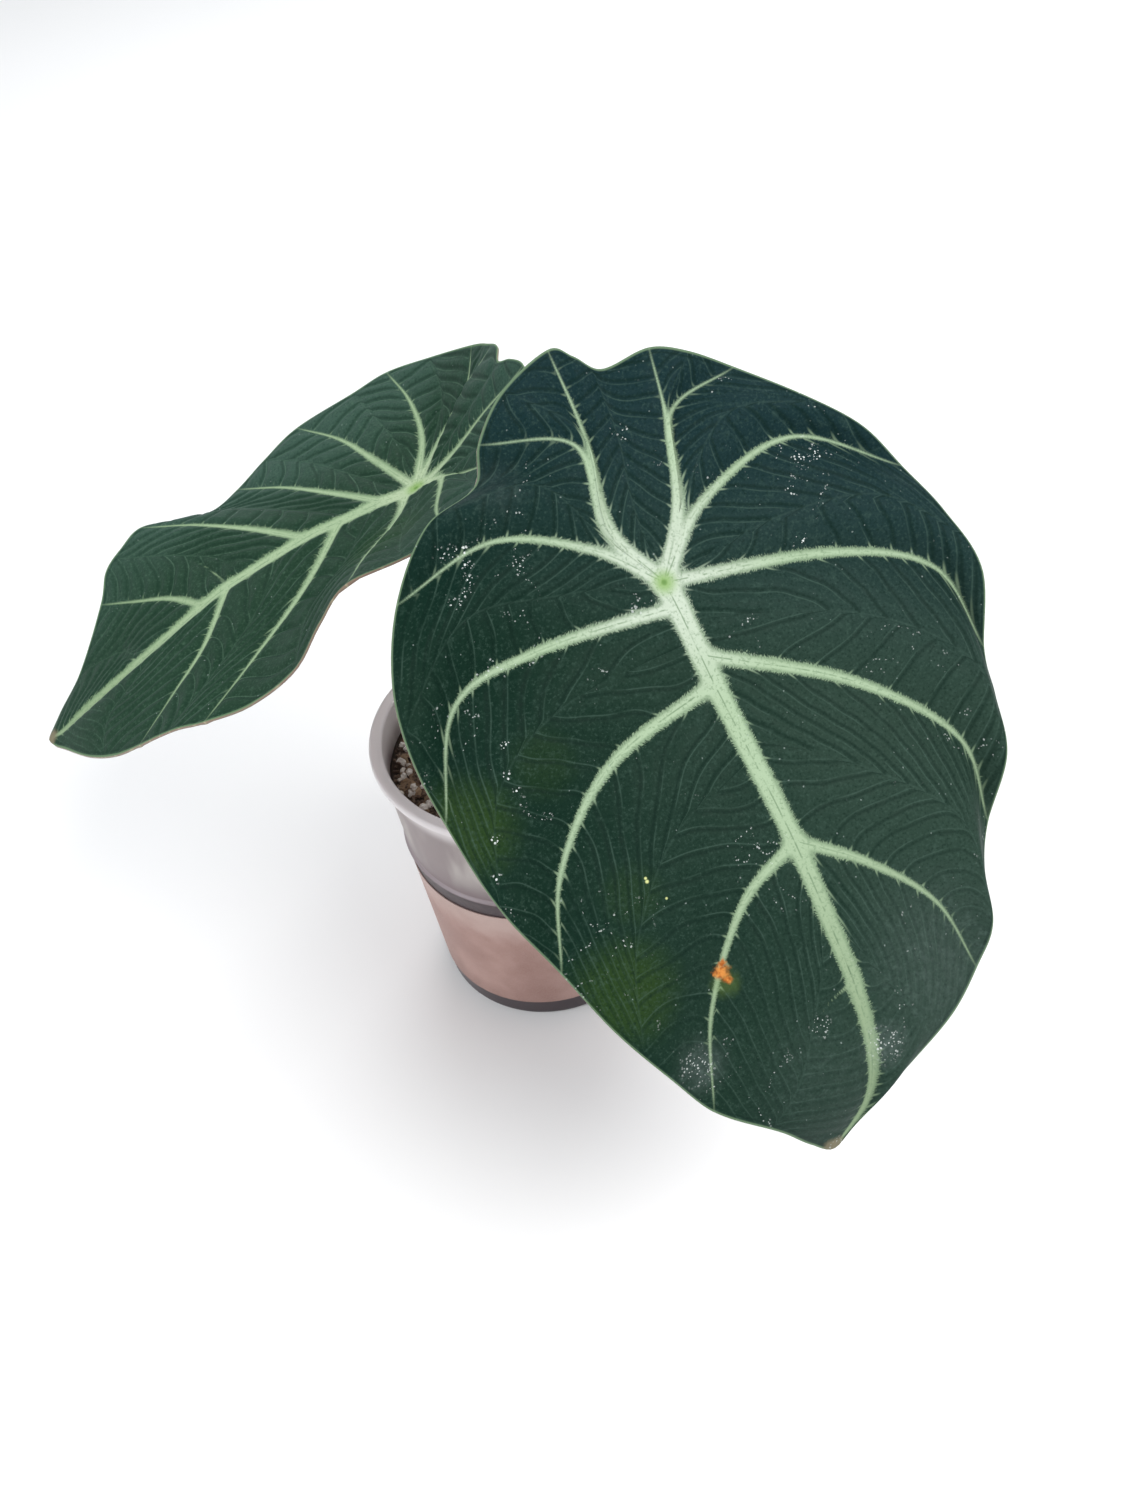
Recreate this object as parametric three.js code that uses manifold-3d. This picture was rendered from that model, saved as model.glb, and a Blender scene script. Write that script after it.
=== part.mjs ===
// Alocasia "black velvet" house plant with two leaves, standing in a frosted plastic pot.
// Millimetres, +Z up. The origin is the middle of the pot's flat base, and the viewer's side is -Y.
// Each blade hangs from its stem as a waved, ribbed shield with a notch behind the attachment.

import * as THREE from "three";
import { mergeVertices } from "three/addons/utils/BufferGeometryUtils.js";
import Module from "manifold-3d";

const wasm = await Module();
wasm.setup();

// Pot: a tapered cup with a rolled lip, a stacking bead and drain holes in its base.
const potHeight = 100;
const potBaseRadius = 35;
const potWallTopRadius = 42.5;
const potLipRadius = 45;
const potLipWidth = 4;
const potLipDrop = 3;
const potLipEdge = 0.8;
const potWall = 1.2;
const potFloor = 1.6;
const potFootEdge = 1.2;
const potSides = 56;
const beadHeight = 63.5;
const beadReach = 1.1;
const beadFlat = 0.4;
const beadProud = 0.8;
const drainHoleCount = 6;
const drainHoleRadius = 2.5;
const drainHoleSides = 12;
const drainRingRadius = 21;

// Label: a bare printed-paper band stuck round the pot, open at the back.
const labelBottom = 6;
const labelTop = 57;
const labelThickness = 0.35;
const labelArc = 336;
const labelSteps = 60;

// Soil: a filling with a slightly domed, lumpy top. Lumps are waves of so many radians a mm.
const gap = 0.3;
const soilTop = 88;
const soilDome = 1.2;
const soilSides = 48;
const soilRings = 8;
const soilFlatEdge = 0.5;
const soilLumps = [
  { height: 0.9, x: 0.31, y: 0.27, phase: 1.3 },
  { height: 0.6, x: 0.83, y: 0.91, phase: 2.1 },
];

// The short rhizome that stands in the soil, stepped by old leaf scars.
const rhizomeRadius = 11;
const rhizomeBottom = 62;
const rhizomeTop = 95;
const rhizomeEnd = 3;
const rhizomeSides = 28;
const scarCount = 7;
const scarDepth = 0.8;
const scarHeight = 1.6;

// Blades.
const bladeThickness = 0.95;
const bladeEdgeThickness = 0.7;
const bladeThinning = 3;
const liftPower = 1.7;
const columnStep = 0.5;
const bladeRows = [0, 0.05, 0.13, 0.24, 0.37, 0.5, 0.63, 0.75, 0.86, 0.94, 1];

// Ribs stand out below the blade and lie in a groove on top, with the blade quilted up between.
const ribDepth = 1.9;
const ribFullHalf = 2.2;
const ribEndShare = 0.36;
const ribSpread = 0.5;
const ribShoulder = 0.13;
const ribSteps = 30;
const midribHalfWidths = { attachment: 2.6, middle: 1.7, tip: 0.4 };
const grooveDepth = 0.5;
const grooveFade = 4;
const quiltHeight = 1.5;
const quiltReach = 8;
const quiltFade = 5;

// A blade is laid out in columns that fan out from the attachment and, past it, from the midrib.
// Columns run from the first rib on one side (0) round the tip (10) and back over the notch.
// midrib: column, along, across, height. ribs: column, two points on the way, width at the root.
// margin: column, along, across, height. "Along" points to the tip; the attachment is at zero.
const columnPeriod = 33;
const tipColumn = 10;

const frontLeaf = {
  attach: [40.3, -56.2, 192],
  heading: -74,
  slope: 47,
  roll: 0,
  midrib: [
    [0, 0, 0, 0], [1, 6, 1, 0.5], [3, 18, 2.5, 1], [4, 25, 3.5, 1], [7, 65, 10, 1.5],
    [10, 100, 14, -0.5],
  ],
  ribs: [
    [0, 5, 40, 16, 65, 2.6],
    [3, 35, 36, 56, 58, 2.8],
    [7, 76, 26, 91, 40, 2.4],
    [10, 118, 14, 131, 11, 2.6],
    [13, 75, -6, 96, -20, 2.4],
    [16, 35, -25, 54, -43, 2.8],
    [19, 6, -33, 12, -54, 2.6],
    [21.5, -12, -14, -20, -35, 2.6],
    [23.5, -24, -8, -38, -15, 2.2],
    [25, -15, -8, -36, -7, 2.6],
    [26.5, -17, 0, -34, 2, 0],
    [27.5, -15, 8, -34, 12, 2.2],
    [29, -16, 9, -36, 14, 2.4],
    [31, -15, 15, -23, 40, 2.6],
  ],
  margin: [
    [0, 38, 72, -4], [1, 49, 69, 0], [2, 63, 66, 2.5], [3, 78, 60, -5], [4, 87, 54, -1.5],
    [5.5, 100, 51, 0], [7, 110, 46, -5], [8, 118, 36, -4], [9, 127, 22, -7], [9.6, 136, 9, -12],
    [10, 142, 2, -17], [10.4, 138, -4, -13.5], [11.2, 131, -11, -9], [13, 119, -26, -6],
    [14, 107, -34, -1.5], [15, 92, -43, 0], [16, 76, -50, -3], [17.5, 57, -59, 1.5], [19, 36, -64, -2.5],
    [20, 19, -67, 2], [20.7, 4, -66, 3], [21.5, -13, -59, -2], [22.3, -27, -48, 1.5],
    [23, -33, -34, -3], [23.5, -41, -31, 0], [24.2, -50, -23, 2], [25, -57, -9, -1],
    [25.7, -54, -4, -0.5], [26.5, -50, 2, -2.5], [27.5, -51, 13, 1], [28.2, -48, 21, 1.5],
    [29, -42, 32, -1.5], [30, -29, 47, 2], [30.5, -20, 57, 1], [31, -9, 65, -2.5], [31.7, 4, 70, 1],
    [32.4, 20, 74, 2.5],
  ],
};

const sideLeaf = {
  attach: [-19.1, 31.8, 166.9],
  heading: -166,
  slope: 23.2,
  roll: 5,
  midrib: [
    [0, 0, 0, 0], [1, 3, 0, 0.5], [2, 10, -1, 2], [4, 23, -2, 4], [5, 34, -3, 5.5],
    [7, 60, -2, 7.5], [8, 69, -1, 7.5], [9, 92, 1.5, 6], [10, 106, 2, 4],
  ],
  ribs: [
    [0, -8, 7, -4, 29, 2.4],
    [1, 9, 15, 18, 32, 2.4],
    [4, 39, 18, 58, 35, 2.4],
    [7, 71, 17, 84, 28, 2],
    [10, 115, 2, 124, 1, 2.2],
    [11, 99, -6, 107, -13, 1.4],
    [12, 79, -15, 91, -25, 2],
    [15, 48, -22, 65, -40, 2.4],
    [18, 22, -20, 37, -42, 2.4],
    [20, 8, -27, 15, -47, 2.4],
    [22, -8, -20, -10, -40, 2.4],
    [24, -13, -12, -26, -17, 2.2],
    [25.5, -14, -9, -28, -12, 2],
    [27, -13, -4, -26, -2, 0],
    [28.5, -14, 2, -28, 7, 2.2],
    [30.5, -13, 12, -24, 27, 2.2],
  ],
  margin: [
    [0, -6, 54, 14], [0.5, 8, 53, 15.5], [1, 22, 54, 19], [1.7, 33, 56, 15.5], [2.5, 46, 57, 9],
    [3.3, 62, 54, 6], [4, 75, 50, 7], [5, 83, 46, 7.5], [6, 90, 42, 6.5], [7, 97, 38, 5],
    [8, 107, 31, 2.5], [9, 117, 21, 1], [9.6, 126, 8, -0.5], [10, 132, -2, -1], [10.4, 127, -8, 1],
    [11, 117, -18, 3], [12, 102, -33, 10], [13, 96, -41, 14], [14, 89, -46, 15], [15, 81, -50, 15],
    [16, 71, -52, 9], [17, 62, -55, 3.5], [18, 52, -58, 3], [19, 40, -62, 4], [20, 26, -65, 5],
    [21, 5, -62, 5], [22, -8, -58, 6], [23, -22, -47, 7], [24, -35, -25, 13], [25, -39, -14, 16],
    [26.3, -41, -2, 19.5], [27, -39, 4, 19], [27.7, -42, 11, 21], [28.5, -44, 19, 21.5],
    [29.5, -41, 30, 19], [30.5, -35, 41, 17], [31.7, -22, 50, 15],
  ],
};

const petioles = {
  front: {
    leaf: frontLeaf,
    route: [[3.4, -3.1, 78], [4.2, -4, 92], [7, -7, 110], [13, -12.5, 133], [22.5, -23, 157]],
  },
  side: {
    leaf: sideLeaf,
    route: [[-3.4, 3.1, 78], [-3.8, 4.2, 92], [-4.5, 9, 108], [-6.5, 18, 127]],
  },
};
const petioleSides = 10;
const petioleRings = 22;
const petioleNeck = 8;
const petioleFootRadius = 3.4;
const petioleTopRadius = 2.4;
const petioleFlare = 0.8;
const petioleFlareStart = 0.9;

// Radius of a stem at a share of its length: stout at the foot, slim, then flared under the blade.
function petioleRadius(share) {
  const flare = Math.max(0, (share - petioleFlareStart) / (1 - petioleFlareStart));
  return THREE.MathUtils.lerp(petioleFootRadius, petioleTopRadius, share) + petioleFlare * flare ** 2;
}

function material(color, roughness, extra = {}) {
  return new THREE.MeshStandardMaterial({ color, roughness, metalness: 0, ...extra });
}

// ---- Small geometry helpers ----

function closedGeometry(positions, triangles) {
  const geometry = new THREE.BufferGeometry();
  geometry.setAttribute("position", new THREE.Float32BufferAttribute(positions, 3));
  geometry.setIndex(triangles);
  return geometry;
}

function weld(geometry) {
  geometry.deleteAttribute("normal");
  geometry.deleteAttribute("uv");
  return mergeVertices(geometry, 1e-4);
}

function toManifold(geometry) {
  const welded = weld(geometry);
  return new wasm.Manifold(new wasm.Mesh({
    numProp: 3,
    vertProperties: Float32Array.from(welded.attributes.position.array),
    triVerts: Uint32Array.from(welded.index.array),
  }));
}

function fromManifold(solid) {
  const mesh = solid.getMesh();
  return closedGeometry(Array.from(mesh.vertProperties), Array.from(mesh.triVerts));
}

// A closed body through rings with the same number of points, capped at both ends.
function loft(rings) {
  const sides = rings[0].length;
  const positions = rings.flat().flatMap((point) => point.toArray());
  const triangles = [];
  for (let k = 0; k + 1 < rings.length; k += 1) {
    for (let i = 0; i < sides; i += 1) {
      const a = k * sides + i;
      const b = k * sides + ((i + 1) % sides);
      triangles.push(a, b, b + sides, a, b + sides, a + sides);
    }
  }
  const last = (rings.length - 1) * sides;
  for (let i = 1; i + 1 < sides; i += 1) {
    triangles.push(0, i + 1, i, last, last + i, last + i + 1);
  }
  return closedGeometry(positions, triangles);
}

// A solid of revolution about Z from radius and height pairs.
function turned(profile, sides) {
  const points = profile.map(([radius, height]) => new THREE.Vector2(radius, height));
  return new THREE.LatheGeometry(points, sides).rotateX(Math.PI / 2);
}

// ---- Pot, label, soil and rhizome ----

function wallRadius(height) {
  const rise = height / (potHeight - potLipDrop);
  return potBaseRadius + (potWallTopRadius - potBaseRadius) * rise;
}

function potGeometry() {
  const lipInner = potLipRadius - potLipWidth;
  const wallTop = potHeight - potLipDrop;
  const profile = [
    [0, 0],
    [potBaseRadius - potFootEdge, 0],
    [wallRadius(potFootEdge), potFootEdge],
    [wallRadius(beadHeight - beadReach), beadHeight - beadReach],
    [wallRadius(beadHeight) + beadProud, beadHeight - beadFlat],
    [wallRadius(beadHeight) + beadProud, beadHeight + beadFlat],
    [wallRadius(beadHeight + beadReach), beadHeight + beadReach],
    [wallRadius(wallTop - potLipEdge), wallTop - potLipEdge],
    [potLipRadius - potLipEdge, wallTop],
    [potLipRadius, wallTop + potLipEdge],
    [potLipRadius, potHeight - potLipEdge],
    [potLipRadius - potLipEdge, potHeight],
    [lipInner + potLipEdge, potHeight],
    [lipInner, potHeight - potLipEdge],
    [wallRadius(wallTop) - potWall, wallTop - potLipEdge],
    [wallRadius(potFloor) - potWall, potFloor],
    [0, potFloor],
  ];
  let solid = toManifold(turned(profile, potSides));
  const drill = 4 * potFloor;
  for (let k = 0; k < drainHoleCount; k += 1) {
    const angle = (k / drainHoleCount) * 2 * Math.PI;
    const hole = new THREE.CylinderGeometry(drainHoleRadius, drainHoleRadius, drill, drainHoleSides);
    hole.rotateX(Math.PI / 2);
    hole.translate(drainRingRadius * Math.cos(angle), drainRingRadius * Math.sin(angle), 0);
    solid = solid.subtract(toManifold(hole));
  }
  return fromManifold(solid);
}

// The band starts and ends either side of the pot's back (+Y).
function labelGeometry() {
  const start = 90 + (360 - labelArc) / 2;
  const rings = [];
  for (let k = 0; k <= labelSteps; k += 1) {
    const angle = THREE.MathUtils.degToRad(start + (labelArc * k) / labelSteps);
    const corner = (offset, height) => {
      const radius = wallRadius(height) + gap + offset;
      return new THREE.Vector3(radius * Math.cos(angle), radius * Math.sin(angle), height);
    };
    rings.push([
      corner(0, labelBottom),
      corner(0, labelTop),
      corner(labelThickness, labelTop),
      corner(labelThickness, labelBottom),
    ]);
  }
  return loft(rings);
}

// Gentle lumps on the soil's surface, alike all round.
function soilBump(x, y) {
  const lump = (wave) => wave.height * Math.sin(wave.x * x + wave.phase) * Math.cos(wave.y * y - wave.phase);
  return soilLumps.reduce((sum, wave) => sum + lump(wave), 0);
}

function soilGeometry() {
  const rim = wallRadius(soilTop) - potWall - gap;
  const hole = rhizomeRadius + gap;
  const surface = [];
  for (let k = 0; k <= soilRings; k += 1) {
    surface.push([rim + (hole - rim) * (k / soilRings), soilTop]);
  }
  const profile = [
    [0, potFloor + gap],
    [wallRadius(potFloor) - potWall - 2 * gap, potFloor + gap],
    ...surface,
    [hole, rhizomeBottom - gap],
    [0, rhizomeBottom - gap],
  ];
  const geometry = weld(turned(profile, soilSides));
  const position = geometry.attributes.position;
  for (let i = 0; i < position.count; i += 1) {
    const radius = Math.hypot(position.getX(i), position.getY(i));
    if (position.getZ(i) > soilTop - gap && radius < rim - soilFlatEdge) {
      const dome = soilDome * (1 - radius / rim);
      position.setZ(i, soilTop + dome + soilBump(position.getX(i), position.getY(i)));
    }
  }
  return geometry;
}

function rhizomeGeometry() {
  const profile = [
    [0, rhizomeBottom],
    [rhizomeRadius / 2, rhizomeBottom],
    [rhizomeRadius - rhizomeEnd, rhizomeBottom + rhizomeEnd],
  ];
  const firstScar = rhizomeBottom + 2 * rhizomeEnd;
  const scarRise = (rhizomeTop - rhizomeEnd - firstScar) / scarCount;
  for (let k = 0; k < scarCount; k += 1) {
    const height = firstScar + k * scarRise;
    profile.push([rhizomeRadius, height], [rhizomeRadius - scarDepth, height + scarHeight]);
  }
  profile.push([rhizomeRadius - 2 * scarDepth, rhizomeTop - scarHeight]);
  profile.push([rhizomeRadius - rhizomeEnd, rhizomeTop], [0, rhizomeTop]);
  let solid = toManifold(turned(profile, rhizomeSides));
  for (const petiole of Object.values(petioles)) {
    solid = solid.subtract(toManifold(petioleGeometry(petiole, gap)));
  }
  return fromManifold(solid);
}

// ---- Blades ----

// Unit directions of a blade: along its midrib, across it, and out of its upper face.
function leafAxes(leaf) {
  const [heading, slope, roll] = [leaf.heading, leaf.slope, leaf.roll].map(THREE.MathUtils.degToRad);
  const along = new THREE.Vector3(
    Math.cos(slope) * Math.cos(heading),
    Math.cos(slope) * Math.sin(heading),
    -Math.sin(slope),
  );
  const across = new THREE.Vector3(0, 0, 1).cross(along).normalize();
  const normal = along.clone().cross(across);
  across.applyAxisAngle(along, roll);
  normal.applyAxisAngle(along, roll);
  return { along, across, normal };
}

// Smooth value at x through rows of [x, value, value ...]; period wraps the rows round.
function through(rows, x, period = 0) {
  const count = rows.length;
  let k = rows.findLastIndex((row) => row[0] <= x + 1e-9);
  if (!period) {
    k = Math.min(Math.max(k, 0), count - 2);
  }
  const row = (index) => {
    if (!period) {
      return rows[Math.min(Math.max(index, 0), count - 1)];
    }
    const turns = Math.floor(index / count);
    const [first, ...values] = rows[index - turns * count];
    return [first + turns * period, ...values];
  };
  const [before, from, to, after] = [row(k - 1), row(k), row(k + 1), row(k + 2)];
  const span = to[0] - from[0];
  const t = (x - from[0]) / span;
  return from.slice(1).map((value, i) => {
    const slopeFrom = ((to[i + 1] - before[i + 1]) / (to[0] - before[0])) * span;
    const slopeTo = ((after[i + 1] - value) / (after[0] - from[0])) * span;
    return (2 * t ** 3 - 3 * t ** 2 + 1) * value + (t ** 3 - 2 * t ** 2 + t) * slopeFrom
      + (3 * t ** 2 - 2 * t ** 3) * to[i + 1] + (t ** 3 - t ** 2) * slopeTo;
  });
}

// Where a column leaves the midrib: at the attachment for the columns behind it.
function columnRoot(leaf, column) {
  const distance = Math.min(column, 2 * tipColumn - column);
  return distance <= 0 ? [0, 0, 0] : through(leaf.midrib, Math.min(distance, tipColumn));
}

// A point of the blade's middle sheet, before the ribs and the quilting are laid on it.
function sheetPoint(leaf, column, share) {
  const wrapped = column % columnPeriod;
  const root = columnRoot(leaf, wrapped);
  const [a0, a1, b0, b1] = through(leaf.ribs, wrapped, columnPeriod);
  const edge = through(leaf.margin, wrapped, columnPeriod);
  const [along, across] = through(
    [[0, root[0], root[1]], [1 / 3, a0, a1], [2 / 3, b0, b1], [1, edge[0], edge[1]]],
    share,
  );
  const height = root[2] + (edge[2] - root[2]) * share ** liftPower;
  return [along, across, height];
}

// The ribs as lists of points with the half width there; the midrib runs on to the tip.
function ribLines(leaf) {
  const { lerp } = THREE.MathUtils;
  const { attachment, middle, tip } = midribHalfWidths;
  const line = (place, fromHalf, toHalf) => Array.from({ length: ribSteps + 1 }, (_, k) => {
    const [along, across] = place(k / ribSteps);
    return [along, across, lerp(fromHalf, toHalf, k / ribSteps)];
  });
  const lines = [
    line((share) => columnRoot(leaf, tipColumn * share), attachment, middle),
    line((share) => sheetPoint(leaf, tipColumn, share), middle, tip),
  ];
  for (const [column, , , , , width] of leaf.ribs) {
    if (width > 0 && column !== tipColumn) {
      lines.push(line((share) => sheetPoint(leaf, column, share), width / 2, (width / 2) * ribEndShare));
    }
  }
  return lines;
}

// Distance to the nearest rib and how strongly it stands out there.
function nearestRib(lines, along, across) {
  let best = { distance: Infinity, half: 1 };
  for (const line of lines) {
    for (const [u, v, half] of line) {
      const distance = Math.hypot(along - u, across - v);
      if (distance - half < best.distance - best.half) {
        best = { distance, half };
      }
    }
  }
  return best;
}

// Heights of the upper and the lower face of the blade above its sheet.
function bladeFaces(lines, along, across, share) {
  const { distance, half } = nearestRib(lines, along, across);
  const crest = Math.exp(-((distance / (half + ribSpread)) ** 2));
  const puff = 1 - Math.exp(-((distance / quiltReach) ** 2));
  const groove = grooveDepth * crest * (1 - share ** grooveFade);
  const upper = quiltHeight * puff * (1 - share ** quiltFade) - groove;
  const thickness = THREE.MathUtils.lerp(bladeThickness, bladeEdgeThickness, share ** bladeThinning);
  const rib = ribDepth * Math.min(1, half / ribFullHalf) * crest;
  return { upper, lower: upper - thickness - rib };
}

// Even steps, and a crest and two shoulders at each rib. Both sides of the midrib share their roots.
function bladeColumns(leaf) {
  const columns = [];
  for (let column = 0; column < columnPeriod; column += columnStep) {
    columns.push(column);
  }
  for (const rib of leaf.ribs.filter((row) => row[5] > 0)) {
    for (const column of [rib[0] - ribShoulder, rib[0], rib[0] + ribShoulder]) {
      columns.push((column + columnPeriod) % columnPeriod);
      if (column > 0 && column < 2 * tipColumn) {
        columns.push(2 * tipColumn - column);
      }
    }
  }
  columns.sort((a, b) => a - b);
  return columns.filter((column, i) => i === 0 || column - columns[i - 1] > 1e-6);
}

function bladeGeometry(leaf) {
  const { along, across, normal } = leafAxes(leaf);
  const lines = ribLines(leaf);
  const columns = bladeColumns(leaf);
  const rows = bladeRows.length;
  const positions = [];
  const place = (u, v, height) => {
    const point = new THREE.Vector3(...leaf.attach);
    point.addScaledVector(along, u).addScaledVector(across, v).addScaledVector(normal, height);
    positions.push(...point.toArray());
  };
  for (const face of ["upper", "lower"]) {
    for (const column of columns) {
      for (const share of bladeRows) {
        const [u, v, height] = sheetPoint(leaf, column, share);
        place(u, v, height + bladeFaces(lines, u, v, share)[face]);
      }
    }
  }
  const triangles = [];
  const under = columns.length * rows;
  for (let c = 0; c < columns.length; c += 1) {
    const here = c * rows;
    const next = ((c + 1) % columns.length) * rows;
    for (let r = 0; r + 1 < rows; r += 1) {
      const [a, b, d, e] = [here + r, next + r, here + r + 1, next + r + 1];
      triangles.push(a, b, e, a, e, d);
      triangles.push(under + a, under + e, under + b, under + a, under + d, under + e);
    }
    const [top, topNext] = [here + rows - 1, next + rows - 1];
    triangles.push(top, topNext, under + topNext, top, under + topNext, under + top);
  }
  return dropSlivers(mergeVertices(closedGeometry(positions, triangles), 1e-3));
}

// Behind the attachment all columns start in one point, so their first cells lose a triangle.
function dropSlivers(geometry) {
  const index = geometry.index.array;
  const kept = [];
  for (let i = 0; i < index.length; i += 3) {
    const [a, b, c] = [index[i], index[i + 1], index[i + 2]];
    if (a !== b && b !== c && c !== a) {
      kept.push(a, b, c);
    }
  }
  geometry.setIndex(kept);
  return geometry;
}

// ---- Stems ----

// A stem rises from its hole in the rhizome and meets its blade square from below.
function petioleGeometry(petiole, grow = 0) {
  const { normal } = leafAxes(petiole.leaf);
  const top = new THREE.Vector3(...petiole.leaf.attach);
  top.addScaledVector(normal, -(grooveDepth + bladeThickness + ribDepth + gap));
  const route = petiole.route.map((point) => new THREE.Vector3(...point));
  for (const back of [2, 1, 0]) {
    route.push(top.clone().addScaledVector(normal, -back * petioleNeck));
  }
  const curve = new THREE.CatmullRomCurve3(route);
  const frames = curve.computeFrenetFrames(petioleRings, false);
  const rings = [];
  for (let k = 0; k <= petioleRings; k += 1) {
    const share = k / petioleRings;
    const centre = curve.getPointAt(share);
    if (k === 0) {
      centre.addScaledVector(frames.tangents[0], -grow);
    }
    const radius = petioleRadius(share) + grow;
    const ring = [];
    for (let i = 0; i < petioleSides; i += 1) {
      const angle = (i / petioleSides) * 2 * Math.PI;
      const point = centre.clone();
      point.addScaledVector(frames.normals[k], radius * Math.cos(angle));
      point.addScaledVector(frames.binormals[k], radius * Math.sin(angle));
      ring.push(point);
    }
    rings.push(ring);
  }
  return loft(rings);
}

// ---- The plant ----

const plant = new THREE.Group();

function add(name, geometry, look) {
  const mesh = new THREE.Mesh(geometry, look);
  mesh.name = name;
  plant.add(mesh);
}

const frosted = material(0xcfcad2, 0.35, { transparent: true, opacity: 0.7 });
add("pot", potGeometry(), frosted);
add("label", labelGeometry(), material(0xd9bfc4, 0.6));
add("soil", soilGeometry(), material(0x3b2a20, 0.95));
add("rhizome", rhizomeGeometry(), material(0x6f5640, 0.85));
add("petiole_front", petioleGeometry(petioles.front), material(0x9aa97a, 0.55));
add("petiole_side", petioleGeometry(petioles.side), material(0x9aa97a, 0.55));
add("leaf_front", bladeGeometry(frontLeaf), material(0x1c3a33, 0.75));
add("leaf_side", bladeGeometry(sideLeaf), material(0x2f5243, 0.7));

export default plant;
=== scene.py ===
import math
from types import SimpleNamespace

import bmesh
import bpy
import numpy as np
from mathutils import Matrix, Vector


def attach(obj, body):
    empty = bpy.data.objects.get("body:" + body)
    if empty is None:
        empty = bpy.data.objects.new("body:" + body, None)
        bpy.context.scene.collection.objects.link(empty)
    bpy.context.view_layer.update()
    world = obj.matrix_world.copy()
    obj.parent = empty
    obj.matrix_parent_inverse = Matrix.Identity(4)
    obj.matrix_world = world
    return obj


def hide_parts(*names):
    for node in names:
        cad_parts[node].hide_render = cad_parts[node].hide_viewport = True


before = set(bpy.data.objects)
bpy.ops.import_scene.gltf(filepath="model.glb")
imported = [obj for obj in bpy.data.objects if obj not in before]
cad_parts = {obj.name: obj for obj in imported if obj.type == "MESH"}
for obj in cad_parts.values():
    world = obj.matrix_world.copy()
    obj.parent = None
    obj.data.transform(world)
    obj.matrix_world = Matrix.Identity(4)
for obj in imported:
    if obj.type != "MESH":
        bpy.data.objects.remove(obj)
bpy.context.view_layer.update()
mm = 0.001
body = "root"


def newObject(name, data):
    made = bpy.data.objects.new(name, data)
    bpy.context.scene.collection.objects.link(made)
    return made


viewSettings = {
    "place": (12.6, -303.35, 390.35),  # millimetres
    "right": (0.99167, -0.09107, -0.09107),
    "up": (0.12880, 0.70122, 0.70122),
    "back": (0.0, -0.70711, 0.70711),
    "lens": 33.6,
    "sensor": 36.0,
    "clip": (0.01, 50),
}


def makeCamera():
    use = viewSettings
    data = bpy.data.cameras.new("camera")
    data.sensor_fit = "VERTICAL"
    data.sensor_width = data.sensor_height = use["sensor"]
    data.lens = use["lens"]
    data.clip_start, data.clip_end = use["clip"]
    camera = newObject("camera", data)
    axes = [Vector(use[name]).normalized() for name in ("right", "up", "back")]
    turn = Matrix(axes).transposed().to_4x4()
    camera.matrix_world = Matrix.Translation(Vector(use["place"]) * mm) @ turn
    bpy.context.scene.camera = camera
    bpy.context.scene.view_settings.view_transform = "Standard"


lightSettings = {
    # name: place, aim, size in metres, watts, colour
    "keyLight": ((0.60, -0.60, 1.15), (0.0, -0.02, 0.13), 0.8, 12.0, (1.0, 0.99, 0.97)),
    "fillLight": ((-0.95, -0.45, 0.70), (0.02, -0.02, 0.12), 0.9, 6.0, (0.95, 0.97, 1.0)),
    "backLight": ((0.20, 0.95, 0.85), (0.0, 0.0, 0.12), 0.8, 5.0, (0.97, 0.98, 1.0)),
}
worldSettings = {"Color": (0.95, 0.97, 1.0, 1.0), "Strength": 0.75}


def makeLights():
    for name, (place, aim, size, power, color) in lightSettings.items():
        data = bpy.data.lights.new(name, "AREA")
        data.shape = "DISK"
        data.size, data.energy, data.color = size, power, color
        light = newObject(name, data)
        light.location = place
        light.rotation_euler = (Vector(aim) - Vector(place)).to_track_quat("-Z", "Y").to_euler()
    world = bpy.data.worlds.new("softWorld")
    world.use_nodes = True
    setInputs(world.node_tree, world.node_tree.nodes["Background"], worldSettings)
    bpy.context.scene.world = world


class Signal:
    # a node's output, which sums and products can be written with
    def __init__(self, tree, socket):
        self.tree = tree
        self.socket = socket

    def calc(self, operation, *others):
        inputs = dict(enumerate((self, *others)))
        return signal(self.tree, "ShaderNodeMath", inputs, operation=operation)

    def __add__(self, other):
        return self.calc("ADD", other)

    def __sub__(self, other):
        return self.calc("SUBTRACT", other)

    def __mul__(self, other):
        return self.calc("MULTIPLY", other)

    def __truediv__(self, other):
        return self.calc("DIVIDE", other)

    def __abs__(self):
        return self.calc("ABSOLUTE")


def setInputs(tree, node, inputs):
    for key, value in inputs.items():
        if isinstance(value, Signal):
            tree.links.new(value.socket, node.inputs[key])
        else:
            node.inputs[key].default_value = value


def addNode(tree, kind, inputs=None, **settings):
    node = tree.nodes.new(kind)
    for key, value in settings.items():
        setattr(node, key, value)
    setInputs(tree, node, inputs or {})
    return node


def signal(tree, kind, inputs=None, out=0, **settings):
    return Signal(tree, addNode(tree, kind, inputs, **settings).outputs[out])


def signals(tree, kind, inputs=None, **settings):
    # all of a new node's outputs by name
    node = addNode(tree, kind, inputs, **settings)
    return {socket.name: Signal(tree, socket) for socket in node.outputs}


def useGroup(tree, group, inputs):
    return signals(tree, "ShaderNodeGroup", inputs, node_tree=group)


def spread(value, low, high, toLow=0.0, toHigh=1.0):
    # eases from one level to another as a value goes from low to high
    inputs = {"Value": value, "From Min": low, "From Max": high, "To Min": toLow, "To Max": toHigh}
    return signal(value.tree, "ShaderNodeMapRange", inputs, interpolation_type="SMOOTHSTEP")


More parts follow.
